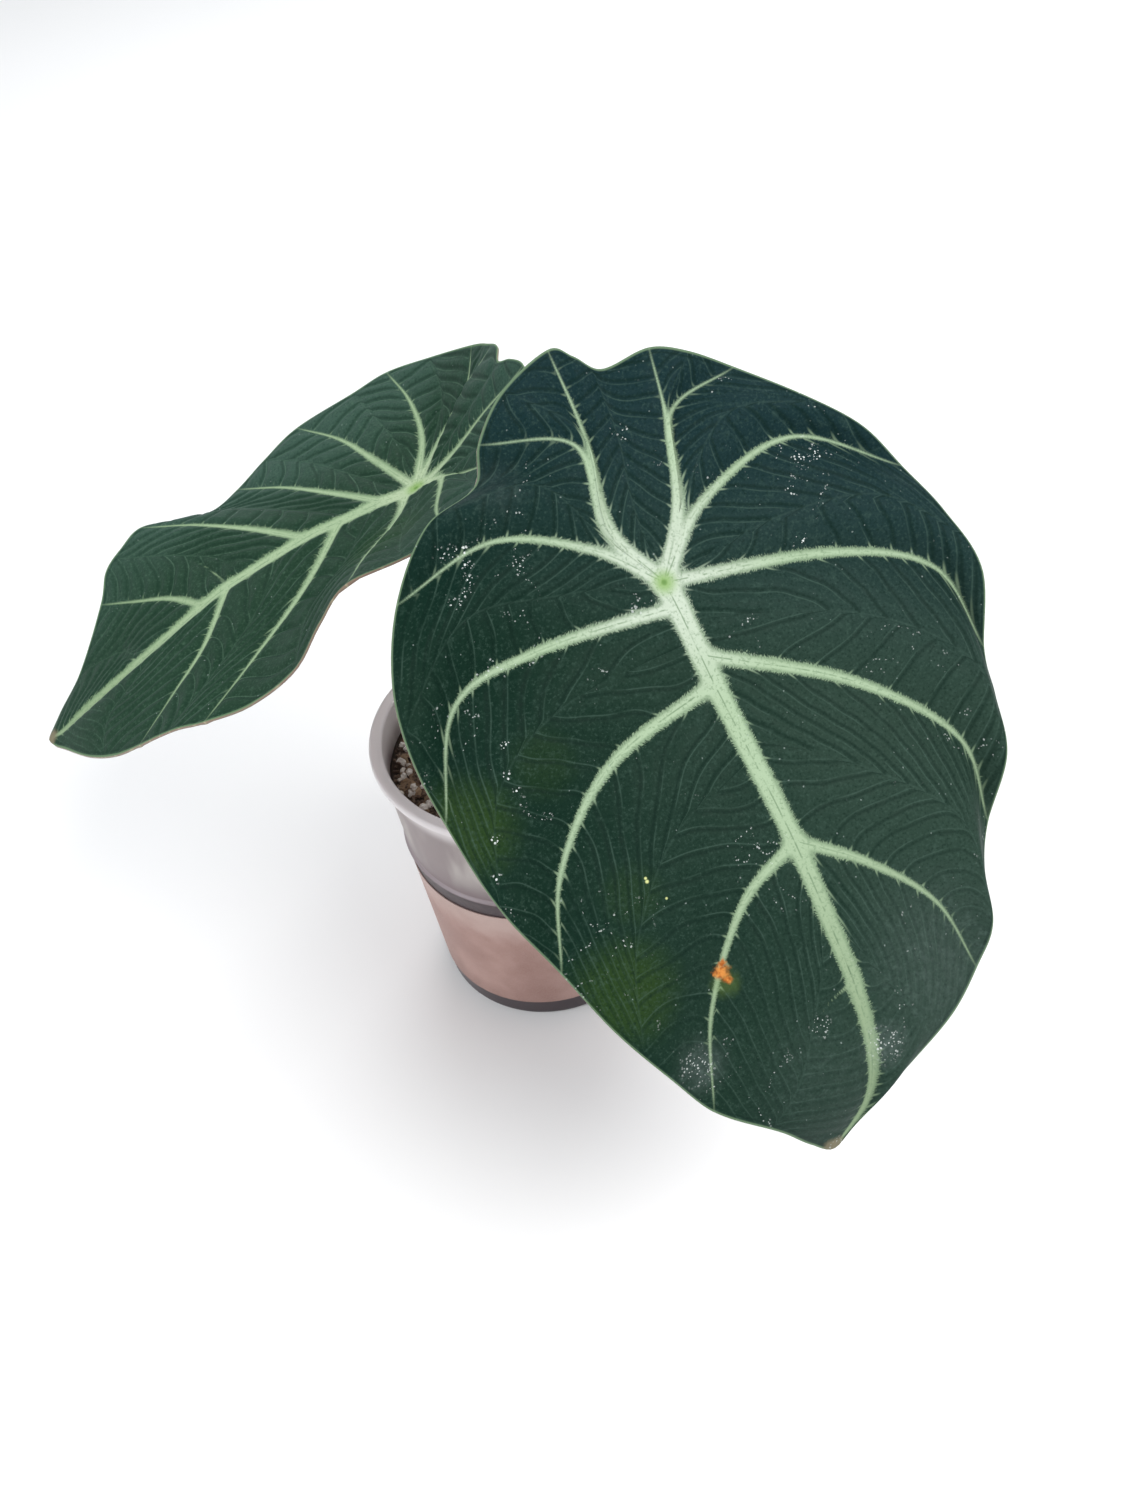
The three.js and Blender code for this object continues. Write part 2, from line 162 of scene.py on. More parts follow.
def blend(factor, a, b):
    a, b = (color if isinstance(color, Signal) else (*color, 1.0) for color in (a, b))
    return signal(factor.tree, "ShaderNodeMix", {0: factor, 6: a, 7: b}, 2, data_type="RGBA")


def layered(base, rows):
    # lays colours on a base; a row is a value, where its colour starts and is full, strength, colour
    for value, start, full, strength, color in rows:
        base = blend(spread(value, start, full, 0.0, strength), base, color)
    return base


def noise(vector, scale, detail=3.0, roughness=0.55, out="Fac"):
    inputs = {"Vector": vector, "Scale": scale, "Detail": detail, "Roughness": roughness}
    return signal(vector.tree, "ShaderNodeTexNoise", inputs, out)


def attribute(tree, name):
    return signal(tree, "ShaderNodeAttribute", out="Fac", attribute_name=name)


def objectPlace(tree):
    return signal(tree, "ShaderNodeTexCoord", out="Object")


def stretched(vector, scale, rotation=(0, 0, 0)):
    inputs = {"Vector": vector, "Scale": scale, "Rotation": rotation}
    return signal(vector.tree, "ShaderNodeMapping", inputs)


def combined(x, y, z=0.0):
    return signal(x.tree, "ShaderNodeCombineXYZ", {"X": x, "Y": y, "Z": z})


def separated(vector):
    return signals(vector.tree, "ShaderNodeSeparateXYZ", {0: vector})


def vectorCalc(operation, vector, inputs=None, out=0):
    inputs = {0: vector, **(inputs or {})}
    return signal(vector.tree, "ShaderNodeVectorMath", inputs, out, operation=operation)


def jitter(place, scale, detail, roughness, reach, middle=0.5):
    # a noise of places about a middle, as a shift of some reach
    color = noise(place, scale, detail, roughness, "Color")
    centred = vectorCalc("SUBTRACT", color, {1: (middle, middle, middle)})
    return vectorCalc("SCALE", centred, {"Scale": reach})


def bump(height, strength, distance, **normal):
    inputs = {"Height": height, "Strength": strength, "Distance": distance, **normal}
    return signal(height.tree, "ShaderNodeBump", inputs)


def newMaterial(name):
    material = bpy.data.materials.new(name)
    material.use_nodes = True
    tree = material.node_tree
    tree.nodes.clear()
    shader = addNode(tree, "ShaderNodeBsdfPrincipled")
    addNode(tree, "ShaderNodeOutputMaterial", {"Surface": Signal(tree, shader.outputs["BSDF"])})
    return material, tree, shader


def newTree(name, inputs, outputs=()):
    # a shader group with number outputs, or without them a geometry tree; an input's first value
    # gives the kind of its socket, and the name of a kind stands for an input without a value
    kind, outKind = ("ShaderNodeTree", "Float") if outputs else ("GeometryNodeTree", "Geometry")
    tree = bpy.data.node_groups.new(name, kind)
    for title, value in inputs.items():
        socketKind = {float: "Float", int: "Int", tuple: "Vector"}.get(type(value), value)
        socket = tree.interface.new_socket(title, in_out="INPUT", socket_type="NodeSocket" + socketKind)
        if socketKind != value:
            socket.default_value = value
    for title in outputs or ("Geometry",):
        tree.interface.new_socket(title, in_out="OUTPUT", socket_type="NodeSocket" + outKind)
    return tree, signals(tree, "NodeGroupInput"), addNode(tree, "NodeGroupOutput")


def storeField(geometry, name, value):
    inputs = {"Geometry": geometry, "Name": name, "Value": value}
    return signal(geometry.tree, "GeometryNodeStoreNamedAttribute", inputs, data_type="FLOAT")


def closeTree(out, geometry, material):
    # every tree ends as real geometry in its own material
    tree = geometry.tree
    whole = signal(tree, "GeometryNodeRealizeInstances", {"Geometry": geometry})
    coated = signal(tree, "GeometryNodeSetMaterial", {"Geometry": whole, "Material": material})
    setInputs(tree, out, {"Geometry": coated})
    return tree


def newPiece(name, points, faces, materials):
    # points in millimetres
    mesh = bpy.data.meshes.new(name)
    mesh.from_pydata((np.asarray(points, float) * mm).tolist(), [], faces)
    for material in materials:
        mesh.materials.append(material)
    mesh.shade_smooth()
    return newObject(name, mesh)


def mergeDoubles(piece, distance=2e-6):
    shape = bmesh.new()
    shape.from_mesh(piece.data)
    bmesh.ops.remove_doubles(shape, verts=shape.verts, dist=distance)
    bmesh.ops.dissolve_degenerate(shape, edges=shape.edges, dist=1e-8)
    shape.to_mesh(piece.data)
    shape.free()


def growNodes(piece, tree, values):
    # sets the tree's named inputs by identifier, then keeps its result as a plain mesh
    modifier = piece.modifiers.new(tree.name, "NODES")
    modifier.node_group = tree
    for item in tree.interface.items_tree:
        if item.item_type == "SOCKET" and item.in_out == "INPUT" and item.name in values:
            modifier[item.identifier] = values[item.name]
    graph = bpy.context.evaluated_depsgraph_get()
    mesh = bpy.data.meshes.new_from_object(piece.evaluated_get(graph), depsgraph=graph)
    name = piece.name
    bpy.data.objects.remove(piece)
    mesh.name = name
    return newObject(name, mesh)


def finishPiece(piece, slot, *nodes):
    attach(piece, body)
    if nodes:
        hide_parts(*nodes)


def gridFaces(shape, start=0, flip=False, closed=True):
    # faces over a grid of columns and rows; closed columns go round
    count, rows = shape
    faces = []
    for c in range(count if closed else count - 1):
        here, there = start + c * rows, start + (c + 1) % count * rows
        for r in range(rows - 1):
            quad = (here + r, there + r, there + r + 1, here + r + 1)
            faces.append(quad[::-1] if flip else quad)
    return faces


def turned(name, profile, sides, material, shape=None):
    # turned round the upright axis: radius and height pairs from the lower pole up, poles left out
    profile = np.asarray(profile, float)
    angles = np.linspace(0, 2 * math.pi, sides, endpoint=False)
    radius, height = np.repeat(profile[:, 0], sides), np.repeat(profile[:, 1], sides)
    around = np.tile(angles, len(profile))
    points = np.column_stack([radius * np.cos(around), radius * np.sin(around), height])
    faces = []
    for k in range(len(profile) - 1):
        for i in range(sides):
            j = (i + 1) % sides
            faces.append((k * sides + i, k * sides + j, (k + 1) * sides + j, (k + 1) * sides + i))
    low, high = len(points), len(points) + 1
    points = np.vstack([points, [0, 0, profile[0, 1]], [0, 0, profile[-1, 1]]])
    top = (len(profile) - 1) * sides
    for i in range(sides):
        j = (i + 1) % sides
        faces.append((low, j, i))
        faces.append((high, top + i, top + j))
    if shape is not None:
        points = shape(points)
    return newPiece(name, points, faces, [material])


def arcPoints(centre, radius, fromAngle, toAngle, steps):
    angles = np.radians(np.linspace(fromAngle, toAngle, steps + 1))
    return [(centre[0] + radius * math.cos(a), centre[1] + radius * math.sin(a)) for a in angles]


# a blade lies on columns, which go round it and are met by the tip at one of them, and on shares
# of the way from the midrib out to the margin
columnPeriod = 33.0
tipColumn = 10.0

# midrib: column, along, across, height
# ribs: column, along and across a third and two thirds of the way out, width (0: no rib to see)
# margin: column, along, across, height
frontLeaf = {
    "attach": (40.3, -56.2, 192.0),
    "heading": -74.0,
    "slope": 47.0,
    "roll": 0.0,
    "midrib": [
        [0, 0, 0, 0], [1, 6, 1, 0.5], [3, 18, 2.5, 1], [4, 25, 3.5, 1], [7, 65, 10, 1.5],
        [10, 100, 14, -0.5],
    ],
    "ribs": [
        [0, 5, 40, 16, 65, 2.6], [3, 35, 36, 56, 58, 2.8], [7, 76, 26, 91, 40, 2.4],
        [10, 118, 14, 131, 11, 2.6], [13, 75, -6, 96, -20, 2.4], [16, 35, -25, 54, -43, 2.8],
        [19, 6, -33, 12, -54, 2.6], [21.5, -12, -14, -20, -35, 2.6], [23.5, -14.6, -9.2, -35, -10, 2.2],
        [25, -15, -8, -36, -7, 2.6], [26.5, -17, 0, -34, 2, 0], [27.5, -15, 8, -34, 12, 2.2],
        [29, -16, 9, -36, 14, 2.4], [31, -15, 15, -23, 40, 2.6],
    ],
    "margin": [
        [0, 38, 72, -4], [1, 49, 69, 0], [2, 63, 66, 2.5], [3, 78, 60, -5], [4, 87, 54, -1.5],
        [5.5, 100, 51, 0], [7, 110, 46, -5], [8, 118, 36, -4], [9, 127, 22, -7], [9.6, 136, 9, -12],
        [10, 142, 2, -17], [10.4, 138, -4, -13.5], [11.2, 131, -11, -9], [13, 119, -26, -6],
        [14, 107, -34, -1.5], [15, 92, -43, 0], [16, 76, -50, -3], [17.5, 57, -59, 1.5],
        [19, 36, -64, -2.5], [20, 19, -67, 2], [20.7, 4, -66, 3], [21.5, -13, -59, -2],
        [22.3, -27, -48, 1.5], [23, -33, -34, -3], [23.5, -41, -31, 0], [24.2, -50, -23, 2],
        [25, -57, -9, -1], [25.7, -54, -4, -0.5], [26.5, -50, 2, -2.5], [27.5, -51, 13, 1],
        [28.2, -48, 21, 1.5], [29, -42, 32, -1.5], [30, -29, 47, 2], [30.5, -20, 57, 1],
        [31, -9, 65, -2.5], [31.7, 4, 70, 1], [32.4, 20, 74, 2.5],
    ],
    "twigs": [[(101, 13.5), (103.4, 7.3), (107.3, 2.4)]],
    "veins": 12.5,
    "puff": 0.42,
    "quilt": 1.5,
    "nub": (141.0, 1.5),
}
sideLeaf = {
    "attach": (-19.1, 31.8, 166.9),
    "heading": -166.0,
    "slope": 23.2,
    "roll": 5.0,
    "midrib": [
        [0, 0, 0, 0], [1, 3, 0, 0.5], [2, 10, -1, 2], [4, 23, -2, 4], [5, 34, -3, 5.5],
        [7, 60, -2, 7.5], [8, 69, -1, 7.5], [9, 92, 1.5, 6], [10, 106, 2, 4],
    ],
    "ribs": [
        [0, -8, 7, -4, 29, 2.4], [1, 9, 15, 18, 32, 2.4], [4, 39, 18, 58, 35, 2.4],
        [7, 71, 17, 84, 28, 2], [10, 115, 2, 124, 1, 2.2], [11, 96, -5, 101, -12, 0],
        [12, 79, -15, 91, -25, 2], [15, 48, -22, 65, -40, 2.4], [18, 22, -20, 37, -42, 2.4],
        [20, 8, -27, 15, -47, 2.4], [22, -8, -20, -10, -40, 2.4], [24, -13, -12, -26, -17, 2.2],
        [25.5, -13.2, -11, -26.5, -15, 2], [27, -13, -4, -26, -2, 0], [28.5, -14, 2, -28, 7, 2.2],
        [30.5, -13, 12, -24, 27, 1.2],
    ],
    "margin": [
        [0, -6, 54, 14], [0.5, 8, 53, 15.5], [1, 22, 54, 19], [1.7, 33, 56, 15.5], [2.5, 46, 57, 9],
        [3.3, 62, 54, 6], [4, 75, 50, 7], [5, 83, 46, 7.5], [6, 90, 42, 6.5], [7, 97, 38, 5],
        [8, 107, 31, 2.5], [9, 117, 21, 1], [9.6, 126, 8, -0.5], [10, 132, -2, -1], [10.4, 127, -8, 1],
        [11, 117, -18, 3], [12, 102, -33, 10], [13, 96, -41, 14], [14, 89, -46, 15], [15, 81, -50, 15],
        [16, 71, -52, 9], [17, 62, -55, 3.5], [18, 52, -58, 3], [19, 40, -62, 4], [20, 26, -65, 5],
        [21, 5, -62, 5], [22, -8, -58, 6], [23, -22, -47, 7], [24, -35, -25, 13], [25, -39, -14, 16],
        [26.3, -41, -2, 19.5], [27, -39, 4, 19], [27.7, -42, 11, 21], [28.5, -44, 19, 21.5],
        [29.5, -41, 30, 19], [30.5, -35, 41, 17], [31.7, -22, 50, 15],
    ],
    "twigs": [[(60, -2), (64.4, -15.2), (69.4, -25.9)], [(94, 1.5), (97.3, -5.3), (100.3, -12.1)]],
    "veins": 8.5,
    "puff": 0.8,
    "quilt": 0.6,
    "nub": (131.0, -1.5),
}

bladeSettings = {
    "columnsPerStep": 14,
    "rows": 116,
    "underStride": 2,
    "liftPower": 1.7,
    "thickness": 0.95,
    "edgeThickness": 0.7,
    "thinning": 3.0,
    "ribDepth": 1.9,
    "ribFullHalf": 2.2,
    "ribSpread": 0.5,
    "ribEndShare": 0.36,
    "ribSteps": 60,
    "midribHalfWidths": (2.6, 1.7, 0.4),  # at the root, past the last ribs, at the tip
    "grooveDepth": 0.5,
    "grooveFade": 4.0,
    "quiltReach": 8.0,
    "quiltFade": 5.0,
    "paleTaper": 0.72,  # how much thinner than the rib its pale line ends
    "paleTaperPower": 1.6,
    "paleWeb": 0.7,  # millimetres of pale web in the fork of two ribs
    "twigHalf": 0.35,
    "twigTaper": 0.8,
    "runApart": 97.0,  # millimetres from one rib's run to the next one's, so no two feather alike
    "nubReach": 2.6,
    "nubHeight": 0.8,
    "nubHang": 2.2,
    # fine side veins between the ribs
    "rootSlack": 0.15,
    "slant": 0.31,
    "slantSpan": 45.0,
    "slantLeast": 0.4,
    "chevron": 1.5,
    "waves": [(0.22, 0.13, 0.09, 1.0), (0.10, -0.19, 0.26, 2.1), (0.03, 0.60, 0.45, 1.3)],
    "stagger": 0.45,
    "veinSlopes": (0.08, 3.0),  # least and most veins in a millimetre
    "collectorSlopes": (0.03, 2.0),
    # the leaf puffs up between them, and calms down near ribs, margin, crowded veins and tip
    "puffReach": 1.1,
    "collectorReach": 1.2,
    "valleyDepth": 0.2,
    "ribCalm": (0.0, 2.5),
    "edgeCalm": (0.0, 4.0),
    "crowdCalm": (1.2, 2.8),
    "tipCalm": (70.0, 125.0),
    "tipCalmMost": 0.5,
    "underPuff": 0.4,
}


def ramp(values, start, full):
    return np.clip((values - start) / (full - start), 0, 1)


def bell(distance, reach):
    return np.exp(-((distance / reach) ** 2))


def curveBetween(t, start, end, leave, arrive):
    return ((2 * t**3 - 3 * t**2 + 1) * start + (t**3 - 2 * t**2 + t) * leave
            + (3 * t**2 - 2 * t**3) * end + (t**3 - t**2) * arrive)


def smoothRows(rows, x, wrap=0.0):
    # values at x on a smooth curve through rows of place, value, value and so on
    rows = np.asarray(rows, float)
    x = np.atleast_1d(np.asarray(x, float))
    if wrap:
        shift = wrap * (np.arange(rows.shape[1]) == 0)
        rows = np.vstack([rows - shift, rows, rows + shift])
        x = np.mod(x, wrap)
    last = len(rows) - 1
    k = np.clip(np.searchsorted(rows[:, 0], x + 1e-9, side="right") - 1, 0, last - 1)
    a, b, c, d = rows[np.maximum(k - 1, 0)], rows[k], rows[k + 1], rows[np.minimum(k + 2, last)]
    span = c[:, :1] - b[:, :1]
    leave = (c[:, 1:] - a[:, 1:]) / (c[:, :1] - a[:, :1]) * span
    arrive = (d[:, 1:] - b[:, 1:]) / (d[:, :1] - b[:, :1]) * span
    return curveBetween((x[:, None] - b[:, :1]) / span, b[:, 1:], c[:, 1:], leave, arrive)


def columnRoots(leaf, columns):
    distance = np.minimum(columns, 2 * tipColumn - columns)
    roots = smoothRows(leaf["midrib"], np.clip(distance, 0, tipColumn))
    roots[distance <= 0] = 0
    return roots


def sheetPoints(leaf, columns, shares):
    # along, across and height of points on the blade's middle sheet
    columns = np.mod(np.asarray(columns, float).ravel(), columnPeriod)
    shares = np.asarray(shares, float).ravel()
    root = columnRoots(leaf, columns)
    via = smoothRows(leaf["ribs"], columns, columnPeriod)
    edge = smoothRows(leaf["margin"], columns, columnPeriod)
    knots = np.stack([root[:, :2], via[:, 0:2], via[:, 2:4], edge[:, :2]], 1)
    k = np.clip(np.floor(shares * 3 + 1e-9).astype(int), 0, 2)
    pick = np.arange(len(columns))
    a, b = knots[pick, np.maximum(k - 1, 0)], knots[pick, k]
    c, d = knots[pick, k + 1], knots[pick, np.minimum(k + 2, 3)]
    leave = (c - a) / np.where(k > 0, 2.0, 1.0)[:, None]
    arrive = (d - b) / np.where(k < 2, 2.0, 1.0)[:, None]
    flat = curveBetween((shares * 3 - k)[:, None], b, c, leave, arrive)
    height = root[:, 2] + (edge[:, 2] - root[:, 2]) * shares ** bladeSettings["liftPower"]
    return np.column_stack([flat, height])


def leafAxes(leaf):
    # rows that point along the blade, across it and up from it
    heading, slope, roll = (math.radians(leaf[name]) for name in ("heading", "slope", "roll"))
    level = math.cos(slope)
    along = Vector((level * math.cos(heading), level * math.sin(heading), -math.sin(slope)))
    across = Vector((0, 0, 1)).cross(along).normalized()
    turn = Matrix.Rotation(roll, 3, along)
    return np.array([along, turn @ across, turn @ along.cross(across)])


def ribLines(leaf):
    # each main rib as its points, its half widths and the half widths of its pale line
    use = bladeSettings
    steps = use["ribSteps"]
    share = np.linspace(0, 1, steps + 1)
    trunk = columnRoots(leaf, share * tipColumn)[:, :2]
    end = sheetPoints(leaf, np.full(steps + 1, tipColumn), share)[:, :2]
    half = np.interp(np.linspace(0, 2, 2 * steps + 1), (0, 1, 2), use["midribHalfWidths"])
    lines = [(np.vstack([trunk, end[1:]]), half, half)]
    for column, *_, width in leaf["ribs"]:
        if width > 0 and column != tipColumn:
            half = width / 2 * (1 + (use["ribEndShare"] - 1) * share)
            pale = half * (1 - use["paleTaper"] * share ** use["paleTaperPower"])
            lines.append((sheetPoints(leaf, np.full(steps + 1, column), share)[:, :2], half, pale))
    for points in leaf["twigs"]:
        rows = np.column_stack([np.linspace(0, 1, len(points)), points])
        half = use["twigHalf"] * (1 - use["twigTaper"] * share)
        lines.append((smoothRows(rows, share), half, half - use["twigHalf"] * share**2))
    return lines


def ribFields(lines, flat):
    # distance to the nearest rib, its half width, how far past its pale line, and how far along it
    count, web = len(flat), bladeSettings["paleWeb"]
    distance, half = np.full(count, 1e9), np.ones(count)
    run, joined = np.zeros(count), np.zeros(count)
    for index, (place, halves, pales) in enumerate(lines):
        past = np.full(count, 1e9)
        walked = index * bladeSettings["runApart"]
        for k, step in enumerate(np.diff(place, axis=0)):
            length = float(np.hypot(*step))
            if length < 1e-6:
                continue
            t = np.clip(((flat - place[k]) @ step) / length**2, 0, 1)
            away = np.linalg.norm(flat - (place[k] + t[:, None] * step), axis=1)
            here = halves[k] + (halves[k + 1] - halves[k]) * t
            past = np.minimum(past, away - (pales[k] + (pales[k + 1] - pales[k]) * t))
            closer = away - here < distance - half
            distance[closer], half[closer] = away[closer], here[closer]
            run[closer] = walked + length * t[closer]
            walked += length
        joined += np.exp(-np.clip(past, -20, 60) / web)
    return distance, half, -web * np.log(joined), run


def sideVeinField(leaf, columns, shares, flat):
    # a number that is whole on each fine side vein, a signed place across each collecting vein, and
    # half a step for the veins past it, so that the two sides meet it by turns
    use = bladeSettings
    main = np.array([row[0] for row in leaf["ribs"] if row[5] > 0] + [columnPeriod])
    gapIndex = np.clip(np.searchsorted(main, columns + 1e-9, side="right") - 1, 0, len(main) - 2)
    low, high = main[gapIndex], main[gapIndex + 1]
    across = (columns - low) / (high - low)
    toMiddle = 2 * np.minimum(across, 1 - across)
    outward = shares - use["rootSlack"] * (1 - np.exp(-shares / use["rootSlack"]))
    apart = np.abs(columnRoots(leaf, high)[:, 0] - columnRoots(leaf, low)[:, 0])
    slant = use["slant"] * np.clip(apart / use["slantSpan"], use["slantLeast"], 1.0)
    field = leaf["veins"] * (outward - slant * toMiddle ** use["chevron"])
    for height, byAlong, byAcross, phase in use["waves"]:
        field += height * np.sin(byAlong * flat[:, 0] + byAcross * flat[:, 1] + phase * gapIndex)
    sign = np.where(gapIndex % 2 == 0, 1.0, -1.0)
    return field, sign * (across - 0.5) * 2, np.where(across > 0.5, use["stagger"], 0.0)


def bladeSurface(leaf, stride, under):
    # a grid of points over one face of the blade, with what its finish reads
    use = bladeSettings
    perStep = use["columnsPerStep"] // stride
    columns = np.arange(int(columnPeriod) * perStep) / perStep
    shares = np.linspace(0, 1, use["rows"] // stride + 1)
    columnGrid, shareGrid = np.meshgrid(columns, shares, indexing="ij")
    shape, share = columnGrid.shape, shareGrid.ravel()
    sheet = sheetPoints(leaf, columnGrid, share)
    distance, half, past, run = ribFields(ribLines(leaf), sheet[:, :2])
    field, collector, stagger = sideVeinField(leaf, columnGrid.ravel(), share, sheet[:, :2])
    grid = sheet[:, :2].reshape(*shape, 2)

    def steps(values):
        return np.gradient(values, axis=1), (np.roll(values, -1, 0) - np.roll(values, 1, 0)) / 2

    stepOut, stepRound = steps(grid)
    area = stepOut[..., 0] * stepRound[..., 1] - stepOut[..., 1] * stepRound[..., 0]
    area = np.where(np.abs(area) < 1e-4, 1e-4, area)

    def perMillimetre(values, least, most):
        out, around = steps(values.reshape(shape))
        slopeAlong = (out * stepRound[..., 1] - around * stepOut[..., 1]) / area
        slopeAcross = (around * stepOut[..., 0] - out * stepRound[..., 0]) / area
        return np.clip(np.hypot(slopeAlong, slopeAcross).ravel(), least, most)

    spacing = 1 / perMillimetre(field, *use["veinSlopes"])
    collector = collector / perMillimetre(collector, *use["collectorSlopes"])
    field = field + stagger
    away = np.abs(field - np.round(field)) * spacing
    toEdge = np.linalg.norm(np.diff(grid, axis=1), axis=2)
    toEdge = np.cumsum(toEdge[:, ::-1], axis=1)[:, ::-1]
    toEdge = np.concatenate([toEdge, np.zeros((len(columns), 1))], axis=1).ravel()
    toNub = np.linalg.norm(sheet[:, :2] - np.array(leaf["nub"]), axis=1)

    crest = bell(distance, half + use["ribSpread"])
    quilt = leaf["quilt"] * (1 - bell(distance, use["quiltReach"])) * (1 - share ** use["quiltFade"])
    groove = use["grooveDepth"] * crest * (1 - share ** use["grooveFade"])
    calm = ramp(distance - half, *use["ribCalm"]) * ramp(toEdge, *use["edgeCalm"])
    calm *= ramp(spacing, *use["crowdCalm"])
    calm *= 1 - use["tipCalmMost"] * ramp(np.linalg.norm(sheet[:, :2], axis=1), *use["tipCalm"])
    valley = bell(collector, use["collectorReach"])
    puff = (1 - bell(away, use["puffReach"])) * (1 - valley) - use["valleyDepth"] * valley
    puff *= calm * leaf["puff"]
    nub = use["nubHeight"] * bell(toNub, use["nubReach"])
    lift = quilt - groove + puff + nub
    if under:
        thickness = use["thickness"] + (use["edgeThickness"] - use["thickness"]) * share ** use["thinning"]
        rib = use["ribDepth"] * np.minimum(1, half / use["ribFullHalf"]) * crest
        lift -= use["underPuff"] * puff + thickness + rib + use["nubHang"] * nub
    layers = {
        "ribDistance": distance, "ribHalf": half, "palePast": past, "ribRun": run, "veinField": field,
        "veinSpacing": spacing, "collector": collector, "edgeDistance": toEdge,
        "along": sheet[:, 0], "across": sheet[:, 1], "share": share, "toNub": toNub,
    }
    sheet = np.column_stack([sheet[:, :2], sheet[:, 2] + lift])
    return np.array(leaf["attach"]) + sheet @ leafAxes(leaf), layers, shape


def makeBlade(name, leaf, looks):
    stride = bladeSettings["underStride"]
    upper, upperLayers, (columns, rows) = bladeSurface(leaf, 1, False)
    under, underLayers, (underColumns, underRows) = bladeSurface(leaf, stride, True)
    start = len(upper)
    faces = gridFaces((columns, rows))
    upperCount = len(faces)
    faces += gridFaces((underColumns, underRows), start, True)
    for c in range(underColumns):
        below = start + (c + 1) * underRows - 1
        belowNext = start + ((c + 1) % underColumns + 1) * underRows - 1
        rim = [((c * stride + k) % columns + 1) * rows - 1 for k in range(stride + 1)]
        faces.append((*rim, belowNext, below))
    blade = newPiece(name, np.vstack([upper, under]), faces, looks)
    kinds = (np.arange(len(faces)) >= upperCount).astype(np.int32)
    blade.data.polygons.foreach_set("material_index", kinds)
    for title, values in upperLayers.items():
        layer = blade.data.attributes.new(title, "FLOAT", "POINT")
        layer.data.foreach_set("value", np.concatenate([values, underLayers[title]]).astype(np.float32))
    mergeDoubles(blade)
    blade.data.shade_smooth()
    print("blade", name, len(blade.data.polygons), "faces")
    return blade


def makeFeatherGroup():
    # 1 on a pale vein with a feathered edge, 0 away from it
    inputs = {"Past": 1.0, "Run": 0.0, "Feather": 0.8, "Place": (0, 0, 0)}
    tree, given, out = newTree("featheredVein", inputs, ("Mask", "Core"))
    past, feather = given["Past"], given["Feather"]
    hairs = noise(combined(given["Run"] + past * 0.5, past * 0.3), 4.2, 2.0, 0.6)
    slow = noise(given["Place"], 300.0, 2.0)
    reach = feather * spread(hairs, 0.3, 0.72, 0.1, 1.5) * (slow * 1.6 + 0.1)
    soft = spread(past, feather, -0.2) * 0.5
    mask = spread(past - reach, 0.22, -0.42).calc("MAXIMUM", soft)
    setInputs(tree, out, {"Mask": mask, "Core": spread(past, 0.1, -0.7)})
    return tree


def makeLineGroup():
    # a thin line wherever a value is whole, of a width in millimetres
    inputs = {"Field": 0.0, "Spacing": 4.0, "Width": 0.35}
    tree, given, out = newTree("wholeLine", inputs, ("Line", "Side"))
    side = (given["Field"] - given["Field"].calc("ROUND")) * given["Spacing"]
    setInputs(tree, out, {"Line": spread(abs(side) / given["Width"], 1.0, 0.0), "Side": side})
    return tree


def makeSpeckGroup():
    # small scattered specks of uneven size
    inputs = {"Place": (0, 0, 0), "Scale": 500.0, "Amount": 0.3, "Size": 0.2}
    tree, given, out = newTree("scatteredSpecks", inputs, ("Mask",))
    moved = vectorCalc("ADD", given["Place"], {1: jitter(given["Place"], 1400.0, 2.0, 0.6, 0.0005, 0.0)})
    cells = signals(tree, "ShaderNodeTexVoronoi", {"Vector": moved, "Scale": given["Scale"]})
    pick = signals(tree, "ShaderNodeSeparateColor", {0: cells["Color"]})
    size = given["Size"] * (pick["Green"] * 0.9 + 0.3)
    near = spread(cells["Distance"] - size, 0.06, -0.04)
    setInputs(tree, out, {"Mask": pick["Red"].calc("LESS_THAN", given["Amount"]) * near})
    return tree


featherGroup = makeFeatherGroup()
lineGroup = makeLineGroup()
speckGroup = makeSpeckGroup()

# in each look the pale colour is painted light on the side of the blade that the light falls on, and the
# bluish colour is a painted sheen
bladeLooks = {
    "blade_dark": {
        "deep": (0.0035, 0.0185, 0.0110), "mid": (0.0090, 0.0270, 0.0165),
        "pale": (0.0198, 0.0420, 0.0300), "paintedSheen": (0.0058, 0.0222, 0.0262),
        "warm": (0.0180, 0.0430, 0.0090), "line": (0.0550, 0.1000, 0.0780),
        "shade": (0.0020, 0.0125, 0.0080), "vein": (0.350, 0.460, 0.305),
        "veinEdge": (0.140, 0.215, 0.125), "white": (0.500, 0.570, 0.470), "far": (0.245, 0.330, 0.200),
        "lineStrength": 0.42, "feather": 0.75, "whiteReach": 34.0, "toothStep": 2.9, "toothReach": 1.3,
        "paintedSheenFrom": (-25.0, 45.0), "paintedLitSide": 1.0, "paintedLitFrom": (-34.0, 52.0),
    },
    "blade_green": {
        "deep": (0.0130, 0.0380, 0.0210), "mid": (0.0155, 0.0410, 0.0240),
        "pale": (0.0340, 0.0720, 0.0530), "paintedSheen": (0.0300, 0.0680, 0.0500),
        "warm": (0.0240, 0.0620, 0.0170), "line": (0.0800, 0.1500, 0.1000),
        "shade": (0.0055, 0.0230, 0.0130), "vein": (0.320, 0.430, 0.260),
        "veinEdge": (0.130, 0.215, 0.115), "white": (0.400, 0.500, 0.320), "far": (0.240, 0.330, 0.190),
        "lineStrength": 0.50, "feather": 0.85, "whiteReach": 16.0, "toothStep": 3.3, "toothReach": 2.4,
        "paintedSheenFrom": (0.0, 50.0), "paintedLitSide": -1.0, "paintedLitFrom": (26.0, 70.0),
    },
}
